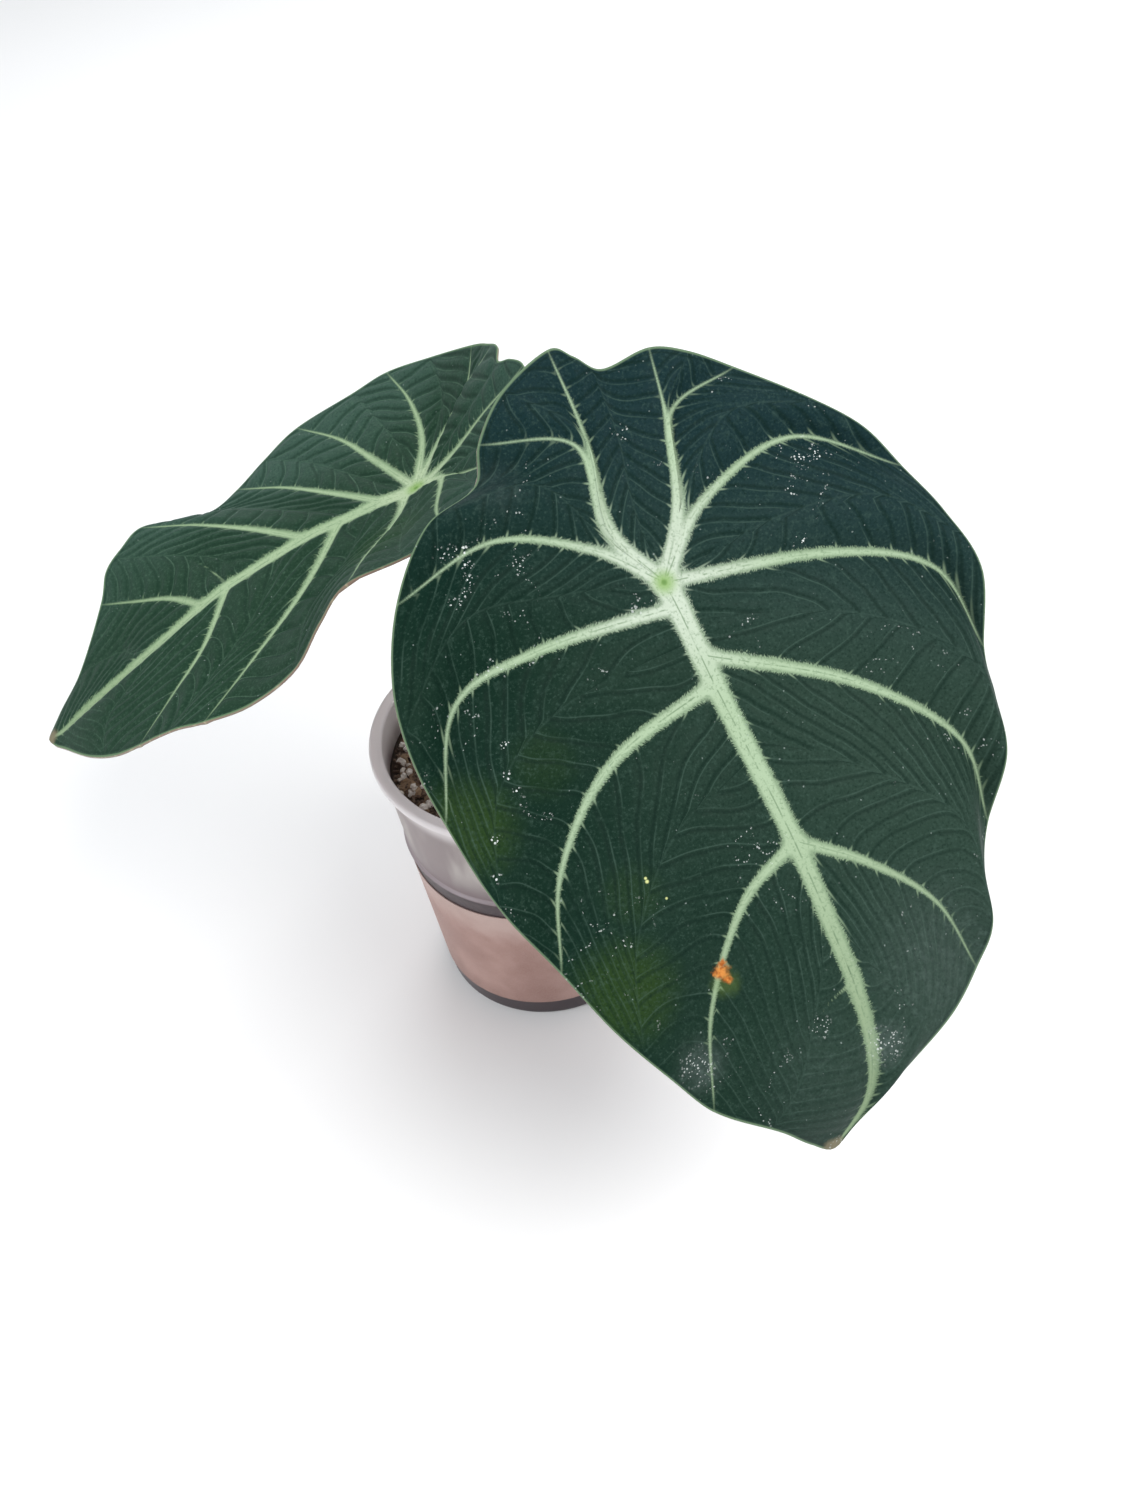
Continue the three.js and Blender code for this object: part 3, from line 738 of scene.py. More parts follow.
spotColors = {
    "heart": (0.19, 0.34, 0.08), "heartCore": (0.06, 0.16, 0.02), "nub": (0.110, 0.100, 0.060),
    "nubPale": (0.250, 0.215, 0.140), "dust": (0.30, 0.36, 0.34), "hazeAndSheen": (0.36, 0.42, 0.42),
    "crust": (0.70, 0.74, 0.72), "halo": (0.14, 0.22, 0.04), "scorch": (0.30, 0.080, 0.015),
    "scorchPale": (0.56, 0.220, 0.050), "fleck": (0.62, 0.66, 0.28),
}

# along, across and reach of each mark in millimetres, and its strength
frontMarks = {
    "crust": [
        (-20.6, -46.5, 1.6, 0.9), (-20.3, -43.8, 1.6, 1.0), (-20, -41.3, 1.8, 1.0),
        (-16.6, -41.6, 1.7, 1.0), (-13.4, -42.4, 1.7, 1.0), (-10.7, -44.4, 1.7, 0.9),
        (-9.3, -47.2, 1.6, 0.9), (-13, -31, 2.5, 0.6), (-17.9, 44.2, 2.4, 1.0), (-17.2, 40, 2.6, 1.0),
        (-11.3, 35.1, 1.8, 0.9), (0.3, 33.8, 1.8, 1.0), (-34.2, 2.1, 2.0, 0.9), (-36, 0.5, 1.8, 0.8),
        (23.2, -46.4, 1.2, 0.9), (29.5, -48.3, 1.4, 1.0), (33.2, -47.4, 1.4, 1.0), (36, -46.6, 1.3, 0.9),
        (38.9, -45.7, 1.4, 0.9), (41.4, -42.5, 1.3, 0.9), (42.1, -55.1, 1.4, 0.9),
        (50.4, -57.9, 1.4, 0.9), (108, 3, 3.0, 0.7), (118, 17, 5, 0.7), (107, -27, 5, 0.6),
    ],
    # two of the small milky marks lie over crusts of dried spray; the broad ones towards the tip are a
    # painted sheen
    "hazeAndSheen": [
        (107, -26, 8, 0.6), (118, 17, 8, 0.6), (-31, -30, 8, 0.2), (122, 0, 22, 0.15), (104, 36, 26, 0.3),
    ],
    "yellowing": [(38, -60, 13, 1.0), (84, -38, 14, 1.0), (64, -30, 8, 0.4), (30, -40, 9, 0.35)],
    "scorch": [
        (88, -15.2, 2.3, 1.0), (86.2, -14.4, 1.5, 1.0), (89.9, -14.4, 1.3, 1.0), (87.6, -16.8, 1.0, 0.9),
    ],
    "halo": [(90.5, -15.2, 4.0, 0.22)],
    "fleck": [(62, -26, 0.5, 0.9), (61.2, -26.1, 0.4, 0.9), (67, -23, 0.36, 0.8)],
}
sideMarks = {"yellowing": [(12, 26, 14, 0.35)]}


def markMask(place, marks, core=0.35):
    # 1 within the core share of each mark's reach, fading out to nothing
    total = None
    for along, across, reach, strength in marks:
        near = vectorCalc("DISTANCE", place, {1: (along, across, 0)}, "Value")
        spot = spread(near, reach * 1.15, reach * core, 0.0, strength)
        total = spot if total is None else total.calc("MAXIMUM", spot)
    return total


def bladeSignals(tree):
    # what a blade's finish reads: the layers of its mesh, and noises of several sizes
    names = ("palePast", "ribRun", "ribHalf", "ribDistance", "veinField", "veinSpacing", "collector",
             "edgeDistance", "along", "across", "share", "toNub")
    at = SimpleNamespace(**{name: attribute(tree, name) for name in names})
    at.tree = tree
    at.place = objectPlace(tree)
    at.flat = combined(at.along, at.across)
    at.ragged = vectorCalc("ADD", at.flat, {1: jitter(at.place, 420.0, 3.0, 0.6, 3.0)})
    at.fromRoot = vectorCalc("LENGTH", at.flat, out="Value")
    at.clouds = noise(at.place, 34.0, 2.0)
    at.mottle = noise(at.place, 560.0, 4.0, 0.65)
    at.grain = noise(at.place, 1500.0, 2.0, 0.6)
    at.nap = noise(at.place, 2600.0, 2.0, 0.6)
    return at


def fieldColor(at, look, marks):
    # the velvet between the ribs, from a deep side to a pale side that is painted light, and towards a
    # bluish side that is a painted sheen, with yellowed patches
    base = layered(look["deep"], [
        (at.clouds, 0.35, 0.65, 0.4, look["mid"]),
        # painted light: the pale colour on the lit side of the blade
        (at.clouds * 24.0 + at.across * look["paintedLitSide"], *look["paintedLitFrom"], 1.0, look["pale"]),
        # painted sheen: a bluish colour towards one side of the blade, where the velvet catches the light
        (at.across * 0.5 - at.along, *look["paintedSheenFrom"], 0.9, look["paintedSheen"]),
    ])
    base = blend(markMask(at.ragged, marks["yellowing"]) * 0.85, base, look["warm"])
    return layered(base, [
        (at.mottle, 0.50, 0.74, 0.22, look["line"]),
        (at.grain, 0.54, 0.72, 0.26, look["line"]),
        (at.grain, 0.46, 0.30, 0.5, look["shade"]),
    ])


def sideVeins(at, look, base):
    # lit creases with a shaded flank along the side veins and the veins that collect them
    fine = useGroup(at.tree, lineGroup, {"Field": at.veinField, "Spacing": at.veinSpacing, "Width": 0.30})
    clear = spread(at.palePast, 0.1, 1.2) * spread(at.veinSpacing, 1.0, 2.4)
    clear *= spread(at.fromRoot, 125.0, 70.0, 0.5, 1.0)
    broken = spread(noise(at.place, 90.0, 3.0), 0.35, 0.62, 0.05, 1.0)
    collected = spread(abs(at.collector), 0.40, 0.05) * spread(at.share, 0.15, 0.35)
    collected *= spread(at.share, 0.99, 0.9, 0.0, 0.35)
    crease = (fine["Line"] * clear * broken).calc("MAXIMUM", collected)
    flank = spread(abs(fine["Side"] - 0.8), 0.75, 0.0, 0.0, 0.5)
    base = blend(crease * look["lineStrength"], base, look["line"])
    base = blend(flank * clear, base, look["shade"])
    base = layered(base, [
        (abs(at.edgeDistance - 1.35), 0.35, 0.1, 0.4, look["shade"]),
        (at.edgeDistance, 0.75, 0.25, 0.85, look["veinEdge"]),
    ])
    return base, crease


def paleRibs(at, look, base):
    # a rib's feathering shrinks with it, and it fades just short of the margin
    reach = spread(at.ribHalf, 0.45, 1.3, 0.18, 1.0) * look["feather"]
    feather = useGroup(at.tree, featherGroup, {
        "Past": at.palePast, "Run": at.ribRun, "Feather": reach, "Place": at.place})
    roots = useGroup(at.tree, lineGroup, {"Field": at.veinField, "Spacing": at.veinSpacing, "Width": 0.6})
    rooted = roots["Line"] * spread(at.palePast, 2.5, 0.0, 0.0, 0.62)
    leaning = noise(at.place, 130.0, 2.0) * 5.0 + (at.palePast * -0.6 + at.ribRun)
    teeth = useGroup(at.tree, lineGroup, {
        "Field": leaning / look["toothStep"], "Spacing": look["toothStep"], "Width": 0.42})
    toothed = teeth["Line"] * spread(at.palePast, look["toothReach"], 0.0, 0.0, 0.62)
    toothed *= spread(noise(at.place, 190.0, 2.0), 0.42, 0.60, 0.1, 1.0)
    barb = spread(rooted.calc("MAXIMUM", toothed), 0.12, 0.62, 0.0, 0.8) * spread(at.ribHalf, 0.4, 0.8)
    mask = feather["Mask"].calc("MAXIMUM", barb) * spread(at.edgeDistance, 0.6, 5.0, 0.45, 1.0)
    furrow = spread(at.ribDistance, 0.24, 0.08) * spread(at.ribHalf, 0.8, 1.3)
    furrow *= spread(noise(at.place, 330.0, 2.0), 0.42, 0.58, 0.0, 0.7)
    tone = layered(look["vein"], [
        (at.fromRoot, 45.0, 125.0, 1.0, look["far"]),
        (at.fromRoot, look["whiteReach"], 5.0, 0.9, look["white"]),
    ])
    tone = blend(feather["Core"] * 0.55 + 0.45, look["veinEdge"], tone)
    tone = layered(tone, [(at.grain, 0.5, 0.70, 0.5, look["veinEdge"])])
    tone = blend(furrow, tone, look["veinEdge"])
    nub = blend(at.mottle, spotColors["nub"], spotColors["nubPale"])
    return layered(blend(mask * 0.96, base, tone), [
        (at.fromRoot, 4.2, 0.6, 0.8, spotColors["heart"]),
        (at.fromRoot, 1.0, 0.3, 0.6, spotColors["heartCore"]),
        (at.mottle * 2.4 + at.toNub, 4.8, 2.6, 0.9, nub),
    ])


def sprayAndScorch(at, marks, base):
    # dried spray as a milky film and gritty crusts and trails, with a painted sheen spread broadly over the
    # tip, a scorch with its halo, and pale flecks
    grit = useGroup(at.tree, speckGroup, {"Place": at.place, "Scale": 1500.0, "Amount": 0.75, "Size": 0.36})
    trail = spread(abs(noise(at.place, 75.0, 2.0) - 0.5), 0.014, 0.004, 0.0, 0.5)
    trail *= spread(noise(at.place, 48.0, 1.0), 0.52, 0.62)
    crust = grit["Mask"] * markMask(at.ragged, marks["crust"]).calc("MAXIMUM", trail)
    # milky dried spray, and over the tip a painted sheen
    sprayAndSheenVeil = markMask(at.ragged, marks["hazeAndSheen"], 0.0) * spread(at.mottle, 0.35, 0.75, 0.10, 0.24)
    burnt = layered(spotColors["scorch"], [(at.mottle, 0.42, 0.6, 1.0, spotColors["scorchPale"])])
    for mask, color in (
            (sprayAndSheenVeil, spotColors["hazeAndSheen"]),
            (crust * 0.9, spotColors["crust"]),
            (markMask(at.ragged, marks["halo"]), spotColors["halo"]),
            (markMask(at.ragged, marks["scorch"]), burnt),
            (markMask(at.flat, marks["fleck"]), spotColors["fleck"])):
        base = blend(mask, base, color)
    return base, crust


def bladeMaterial(name, marks):
    material, tree, shader = newMaterial(name)
    look = bladeLooks[name]
    at = bladeSignals(tree)
    base, crease = sideVeins(at, look, fieldColor(at, look, marks))
    base = paleRibs(at, look, base)
    dust = useGroup(tree, speckGroup, {"Place": at.place, "Scale": 620.0, "Amount": 0.17, "Size": 0.10})
    base = blend(dust["Mask"] * 0.5, base, spotColors["dust"])
    rough = spread(at.mottle, 0.3, 0.7, 0.50, 0.66)
    if "crust" in marks:
        base, crust = sprayAndScorch(at, marks, base)
        rough = crust * 0.25 + rough
    relief = bump(crease * -0.6 + at.mottle * 0.55, 0.4, 0.00035)
    setInputs(tree, shader, {
        "Base Color": base, "Roughness": rough, "Specular IOR Level": 0.05, "Sheen Weight": 0.04,
        "Sheen Roughness": 0.4, "Sheen Tint": (0.72, 0.86, 0.95, 1.0),
        "Normal": bump(at.nap, 0.18, 0.00012, Normal=relief)})
    return material


underLooks = {
    # name: field, green clouds, veins
    "under_dark": ((0.105, 0.030, 0.038), (0.060, 0.085, 0.050), (0.36, 0.33, 0.22)),
    "under_green": ((0.125, 0.036, 0.040), (0.085, 0.115, 0.060), (0.40, 0.38, 0.24)),
}


def underMaterial(name):
    material, tree, shader = newMaterial(name)
    field, green, vein = underLooks[name]
    place = objectPlace(tree)
    past = attribute(tree, "palePast")
    mottle = noise(place, 700.0, 3.0, 0.65)
    fine = useGroup(tree, lineGroup, {
        "Field": attribute(tree, "veinField"), "Spacing": attribute(tree, "veinSpacing"), "Width": 0.5})
    line = fine["Line"] * spread(past, 0.1, 1.5)
    base = layered(field, [
        (noise(place, 40.0, 3.0), 0.4, 0.7, 0.6, green),
        (mottle, 0.4, 0.75, 0.4, green),
    ])
    base = layered(blend(line * 0.45, base, vein), [
        (past, 0.45, -0.4, 0.9, vein),
        (attribute(tree, "edgeDistance"), 0.9, 0.2, 0.3, vein),
    ])
    setInputs(tree, shader, {
        "Base Color": base, "Roughness": spread(mottle, 0.3, 0.7, 0.42, 0.6), "Sheen Weight": 0.1,
        "Normal": bump(line * 0.8 + mottle * 0.35, 0.4, 0.0003)})
    return material


plainLooks = {
    # name: three colours, size of the noise, roughness, relief, stretch
    "rhizome_bark": (
        (0.085, 0.045, 0.025), (0.17, 0.10, 0.055), (0.24, 0.17, 0.10), 160.0, 0.8, 0.8, (1, 1, 2.5)),
    "potting_soil": (
        (0.020, 0.011, 0.007), (0.040, 0.024, 0.015), (0.070, 0.045, 0.028), 330.0, 0.9, 0.8, (1, 1, 1)),
    "soil_crumb": (
        (0.024, 0.014, 0.009), (0.140, 0.092, 0.062), (0.18, 0.13, 0.09), 260.0, 0.88, 0.6, (1, 1, 1)),
    "bark_chip": (
        (0.050, 0.028, 0.017), (0.300, 0.200, 0.120), (0.32, 0.23, 0.14), 220.0, 0.8, 0.7, (1, 2.5, 1)),
    "perlite_grain": (
        (0.48, 0.42, 0.36), (0.80, 0.77, 0.72), (0.42, 0.35, 0.28), 420.0, 0.85, 0.7, (1, 1, 1)),
}


def plainMaterial(name, toned=False):
    # three colours mixed by two sizes of noise, and by each grain's own tone where it has one
    first, second, third, scale, roughness, relief, stretch = plainLooks[name]
    material, tree, shader = newMaterial(name)
    place = stretched(objectPlace(tree), stretch)
    large = noise(place, scale, 3.0)
    small = noise(place, scale * 5, 4.0, 0.65)
    share = attribute(tree, "grainTone") if toned else spread(large, 0.35, 0.65)
    setInputs(tree, shader, {
        "Base Color": layered(blend(share, first, second), [(small, 0.45, 0.72, 0.5, third)]),
        "Roughness": spread(small, 0.3, 0.7, roughness - 0.1, roughness + 0.1),
        "Normal": bump(large * 0.6 + small, relief, 0.0004)})
    return material


# a stem is a tube that runs up from the trunk and widens into its blade
stemSettings = {
    "footRadius": 3.6,
    "topRadius": 2.4,
    "flare": 1.5,
    "flareStart": 0.9,
    "swell": 0.8,
    "neck": 8.0,
    "sunk": 0.5,  # share of the rib's depth that the stem's end stands in
    "steps": 120,
    "sides": 28,
    "routes": {
        "front": [(3.4, -3.1, 78), (4.2, -4, 92), (7, -7, 110), (13, -12.5, 133), (22.5, -23, 157)],
        "side": [(-3.4, 3.1, 78), (-3.8, 4.2, 92), (-4.5, 9, 108), (-6.5, 18, 127)],
    },
    "foot": (0.230, 0.150, 0.095), "green": (0.200, 0.270, 0.105), "streak": (0.330, 0.350, 0.190),
    "blotch": (0.140, 0.060, 0.045), "top": (0.360, 0.420, 0.240),
}


def makeStemTree():
    tree, given, out = newTree("stemTube", {
        "Geometry": "Geometry", "Foot Radius": 0.003, "Top Radius": 0.002, "Flare": 0.001,
        "Flare Start": 0.9, "Swell": 0.0008, "Steps": 100, "Sides": 24, "Bark": "Material"})
    line = signal(tree, "GeometryNodeResampleCurve", {"Curve": given["Geometry"], "Count": given["Steps"]})
    factor = signal(tree, "GeometryNodeSplineParameter", out="Factor")
    start, foot = given["Flare Start"], given["Foot Radius"]
    opened = (factor - start).calc("MAXIMUM", 0.0) / (start * -1.0 + 1.0)
    knots = noise(signal(tree, "GeometryNodeInputPosition"), 90.0, 2.0)
    swell = (knots - 0.5) * given["Swell"] + opened.calc("POWER", 2.0) * given["Flare"]
    radius = factor * (given["Top Radius"] - foot) + foot + swell
    ring = signal(tree, "GeometryNodeCurvePrimitiveCircle", {"Resolution": given["Sides"], "Radius": 1.0})
    around = signal(tree, "GeometryNodeSplineParameter", out="Factor")
    tube = signal(tree, "GeometryNodeCurveToMesh", {
        "Curve": storeField(line, "stemShare", factor), "Scale": radius,
        "Profile Curve": storeField(ring, "stemAround", around), "Fill Caps": True})
    return closeTree(out, signal(tree, "GeometryNodeSetShadeSmooth", {"Geometry": tube}), given["Bark"])


def stemMaterial():
    use = stemSettings
    material, tree, shader = newMaterial("petiole_green")
    share, around = attribute(tree, "stemShare"), attribute(tree, "stemAround")
    turn = around * (2 * math.pi)
    streaks = noise(combined(share * 3.0, turn.calc("SINE"), turn.calc("COSINE")), 5.0, 4.0, 0.7)
    base = layered(use["foot"], [
        (share, 0.0, 0.75, 1.0, use["green"]),
        (streaks, 0.45, 0.7, 0.6, use["streak"]),
        (noise(objectPlace(tree), 240.0, 3.0), 0.55, 0.68, 0.55, use["blotch"]),
        (share, 0.9, 1.0, 0.7, use["top"]),
    ])
    setInputs(tree, shader, {
        "Base Color": base, "Roughness": spread(streaks, 0.3, 0.7, 0.38, 0.55), "Subsurface Weight": 0.08,
        "Subsurface Radius": (0.002, 0.003, 0.001), "Normal": bump(streaks, 0.4, 0.0003)})
    return material


def makeStem(name, leaf, route, tree, bark):
    use, blade = stemSettings, bladeSettings
    normal = leafAxes(leaf)[2]
    depth = blade["grooveDepth"] + blade["thickness"] + use["sunk"] * blade["ribDepth"]
    top = np.array(leaf["attach"]) - normal * depth
    points = [np.array(point, float) for point in route]
    points += [top - normal * use["neck"] * back for back in (2, 1, 0)]
    run = np.concatenate([[0], np.cumsum(np.linalg.norm(np.diff(points, axis=0), axis=1))])
    fine = smoothRows(np.column_stack([run, points]), np.linspace(0, run[-1], use["steps"]))
    curve = bpy.data.curves.new(name, "CURVE")
    curve.dimensions = "3D"
    spline = curve.splines.new("POLY")
    spline.points.add(len(fine) - 1)
    spline.points.foreach_set("co", np.column_stack([fine * mm, np.ones(len(fine))]).ravel())
    return growNodes(newObject(name, curve), tree, {
        "Foot Radius": use["footRadius"] * mm, "Top Radius": use["topRadius"] * mm,
        "Flare": use["flare"] * mm, "Flare Start": use["flareStart"], "Swell": use["swell"] * mm,
        "Steps": use["steps"], "Sides": use["sides"], "Bark": bark})


# the short trunk with the scars of old leaves
trunkSettings = {
    "radius": 11.0, "bottom": 62.0, "top": 95.0, "end": 3.0, "endPinch": 0.6,
    "scars": 7, "scarDepth": 0.8, "scarRise": 1.5, "scarStep": 0.6, "sides": 96, "steps": 90,
    "lumps": [(0.28, 3, 0.9, 0.0), (0.2, 7, -1.7, 0.0), (0.14, 17, 0.0, 2.0)],
    "lumpMiddle": 0.3, "coreRadius": 4.0, "crownDip": 0.4, "crownDips": 4, "crown": (0.8, 0.55, 0.3, 0.1),
}


def makeTrunk():
    use = trunkSettings
    heights = np.linspace(use["bottom"], use["top"], use["steps"])
    share = (heights - use["bottom"]) / (use["top"] - use["bottom"])
    saw = np.mod(share * use["scars"], 1.0)
    scar = use["scarRise"] * np.minimum(saw, 1 - saw) + use["scarStep"] * saw
    ends = np.clip(np.minimum(heights - use["bottom"], use["top"] - heights) / use["end"], 0, 1)
    radius = (use["radius"] - use["scarDepth"] * scar) * np.sqrt(1 - use["endPinch"] * (1 - ends) ** 2)
    crown = [(radius[-1] * k, use["top"]) for k in use["crown"]]
    profile = [(radius[0] * 0.5, use["bottom"])] + list(zip(radius, heights)) + crown

    def roughen(points):
        x, y, z = points.T
        angle, out = np.arctan2(y, x), np.hypot(x, y)
        lump = -use["lumpMiddle"]
        for height, turns, byHeight, swing in use["lumps"]:
            lump = lump + height * np.sin(turns * angle + byHeight * z + swing * np.sin(z))
        factor = 1 + lump / np.maximum(out, use["coreRadius"])
        dip = use["crownDip"] * (1 + np.sin(use["crownDips"] * angle + out)) / 2
        return np.column_stack([x * factor, y * factor, z - np.where(z > use["top"] - 1.0, dip, 0.0)])

    return turned("trunk", profile, use["sides"], plainMaterial("rhizome_bark"), roughen)


# the soil is a lumpy body that fills the pot, with loose grains on it
soilSettings = {
    "top": 88.0, "dome": 1.2, "sides": 120, "rings": 44, "wallSteps": 12, "gap": 0.3, "settle": 1.5,
    "lumps": [(0.9, 0.31, 0.27, 1.3), (0.6, 0.83, 0.91, 2.1)],
    "ripple": (0.25, (2.3, 1.1), (1.9, 0.7)),
    # name: look, density per square metre, least and most half size, flatness, detail, seed
    "grains": {
        "soil_crumbs": ("soil_crumb", 1100000.0, 0.35, 1.0, 0.75, 1, 3),
        "bark_chips": ("bark_chip", 110000.0, 0.9, 2.1, 0.35, 2, 7),
        "perlite": ("perlite_grain", 120000.0, 0.75, 1.5, 0.9, 2, 12),
    },
}


def soilRim():
    return wallRadius(soilSettings["top"]) - potSettings["wall"] - soilSettings["gap"]


def soilHeight(points):
    use = soilSettings
    x, y = points[:, 0], points[:, 1]
    out = np.hypot(x, y)
    lift = use["dome"] * (1 - out / soilRim())
    for height, byX, byY, phase in use["lumps"]:
        lift = lift + height * np.sin(byX * x + phase) * np.cos(byY * y - phase)
    height, first, second = use["ripple"]
    lift += height * np.sin(first[0] * x + first[1] * y) * np.sin(second[0] * y - second[1] * x)
    return lift * np.clip((soilRim() - out) / use["settle"], 0, 1)


def makeSoil():
    use = soilSettings
    rim, top = soilRim(), use["top"]
    low = potSettings["floor"] + use["gap"]
    lowRadius = wallRadius(low) - potSettings["wall"] - use["gap"]
    profile = [(lowRadius * 0.5, low), (lowRadius, low)]
    for k in range(1, use["wallSteps"] + 1):
        share = k / use["wallSteps"]
        profile.append((lowRadius + (rim - lowRadius) * share, low + (top - low) * share))
    profile += [(rim * (1 - k / use["rings"]), top) for k in range(1, use["rings"])]

    def heap(points):
        upper = points[:, 2] > top - 0.01
        points[upper, 2] += soilHeight(points[upper])
        return points

    return turned("soil_mix", profile, use["sides"], plainMaterial("potting_soil"), heap)


def makeGrainTree():
    tree, given, out = newTree("looseGrains", {
        "Geometry": "Geometry", "Density": 1000.0, "Least": 0.5, "Most": 1.0, "Flatness": 0.7,
        "Width": 0.72, "Tilt": 0.6, "Turn": 6.28, "Detail": 1, "Seed": 1, "Top": 0.08, "Reach": 0.04,
        "Grain": "Material"})
    seed = given["Seed"]
    normal = separated(signal(tree, "GeometryNodeInputNormal"))
    place = separated(signal(tree, "GeometryNodeInputPosition"))
    upward = normal["Z"].calc("GREATER_THAN", 0.5)
    high = place["Z"].calc("GREATER_THAN", given["Top"])
    fromAxis = vectorCalc("LENGTH", combined(place["X"], place["Y"]), out="Value")
    inside = fromAxis.calc("LESS_THAN", given["Reach"])
    dots = signal(tree, "GeometryNodeDistributePointsOnFaces", {
        "Mesh": given["Geometry"], "Selection": upward * high * inside, "Density": given["Density"],
        "Seed": seed})
    tone = signal(tree, "FunctionNodeRandomValue", {2: 0.0, 3: 1.0, "Seed": seed}, 1, data_type="FLOAT")
    size = signal(tree, "FunctionNodeRandomValue", {
        2: given["Least"], 3: given["Most"], "Seed": seed}, 1, data_type="FLOAT")
    tilt, back = given["Tilt"], given["Tilt"] * -1.0
    turn = signal(tree, "FunctionNodeRandomValue", {
        0: combined(back, back), 1: combined(tilt, tilt, given["Turn"]), "Seed": seed},
        data_type="FLOAT_VECTOR")
    ball = signal(tree, "GeometryNodeMeshIcoSphere", {"Radius": 1.0, "Subdivisions": given["Detail"]})
    grains = signal(tree, "GeometryNodeInstanceOnPoints", {
        "Points": storeField(dots, "grainTone", tone), "Instance": ball, "Rotation": turn,
        "Scale": combined(size, size * given["Width"], size * given["Flatness"])})
    whole = signal(tree, "GeometryNodeRealizeInstances", {"Geometry": grains})
    push = jitter(signal(tree, "GeometryNodeInputPosition"), 900.0, 1.0, 0.5, given["Most"])
    dented = signal(tree, "GeometryNodeSetPosition", {"Geometry": whole, "Offset": push})
    return closeTree(out, dented, given["Grain"])


def makeGrains(soil, tree):
    made = []
    for name, (look, density, least, most, flatness, detail, seed) in soilSettings["grains"].items():
        grains = growNodes(newObject(name, soil.data.copy()), tree, {
            "Density": density, "Least": least * mm, "Most": most * mm, "Flatness": flatness,
            "Detail": detail, "Seed": seed, "Top": (soilSettings["top"] - 2) * mm,
            "Reach": (soilRim() - most) * mm, "Grain": plainMaterial(look, True)})
        print("grains", name, len(grains.data.polygons), "faces")
        made.append(grains)
    return made


potSettings = {
    "height": 100.0, "baseRadius": 35.0, "wallTopRadius": 42.5, "lipRadius": 45.0, "lipWidth": 4.0,
    "lipDrop": 3.0, "lipRound": 1.1, "lipFillet": 0.8, "wall": 1.2, "floor": 1.6, "floorBend": 1.5,
    "footEdge": 1.2, "beadHeight": 63.5, "beadReach": 1.1, "beadProud": 0.8, "beadPower": 1.5,
    "beadSteps": 10, "sides": 176,
    "sole": [(6.0, 0.5), (14.0, 0.5), (24.0, 0.5), (30.5, 0.5), (31.0, 0.4), (31.5, 0.05), (32.0, 0.0)],
    "drainHoles": 6, "drainRadius": 2.5, "drainRing": 21.0, "sharpAngle": 40,
    "dark": (0.190, 0.140, 0.145), "light": (0.270, 0.205, 0.215), "band": (0.055, 0.036, 0.042),
    "damp": (0.500, 0.455, 0.430), "lip": (0.800, 0.755, 0.755), "ledge": (0.420, 0.350, 0.370),
}


def wallRadius(height):
    use = potSettings
    share = height / (use["height"] - use["lipDrop"])
    return use["baseRadius"] + (use["wallTopRadius"] - use["baseRadius"]) * share


def wallRun(start, end, steps, inset=0.0):
    return [(wallRadius(height) - inset, height) for height in np.linspace(start, end, steps)]


def potProfile():
    use = potSettings
    top, wallTop = use["height"], use["height"] - use["lipDrop"]
    foot, curl, fillet, bend = use["footEdge"], use["lipRound"], use["lipFillet"], use["floorBend"]
    bead, reach = use["beadHeight"], use["beadReach"]
    outer, inner = use["lipRadius"] - curl, use["lipRadius"] - use["lipWidth"] + curl
    profile = use["sole"] + arcPoints((wallRadius(foot) - foot, foot), foot, -90, -5, 6)
    profile += wallRun(foot + 1.0, bead - reach, 14)
    for share in np.linspace(0, 1, use["beadSteps"] + 1)[1:-1]:
        height = bead + reach * (2 * share - 1)
        proud = use["beadProud"] * math.sin(math.pi * share) ** use["beadPower"]
        profile.append((wallRadius(height) + proud, height))
    profile += wallRun(bead + reach, wallTop - 2 * fillet, 10)
    profile += arcPoints((wallRadius(wallTop) + fillet, wallTop - fillet), fillet, 180, 90, 4)
    profile += arcPoints((outer, wallTop + curl), curl, -90, 0, 6)
    profile += arcPoints((outer, top - curl), curl, 10, 90, 6)
    profile += arcPoints((inner, top - curl), curl, 90, 180, 6)
    profile += wallRun(wallTop - fillet, use["floor"] + bend, 24, use["wall"])
    corner = (wallRadius(use["floor"]) - use["wall"] - bend, use["floor"] + bend)
    profile += arcPoints(corner, bend, -15, -90, 5)
    return profile + [(radius, use["floor"]) for radius, _ in use["sole"][2::-1]]


def makeDrillTree():
    tree, given, out = newTree("drainHoles", {
        "Geometry": "Geometry", "Count": 6, "Ring": 0.02, "Hole": 0.002, "Plastic": "Material"})
    ring = signal(tree, "GeometryNodeMeshCircle", {"Vertices": given["Count"], "Radius": given["Ring"]})
    drill = signal(tree, "GeometryNodeMeshCylinder", {
        "Vertices": 32, "Radius": given["Hole"], "Depth": 0.012})
    drills = signal(tree, "GeometryNodeInstanceOnPoints", {"Points": ring, "Instance": drill})
    solid = signal(tree, "GeometryNodeRealizeInstances", {"Geometry": drills})
    cut = signal(tree, "GeometryNodeMeshBoolean", {"Mesh 1": given["Geometry"], "Mesh 2": solid},
                 operation="DIFFERENCE", solver="EXACT")
    return closeTree(out, cut, given["Plastic"])


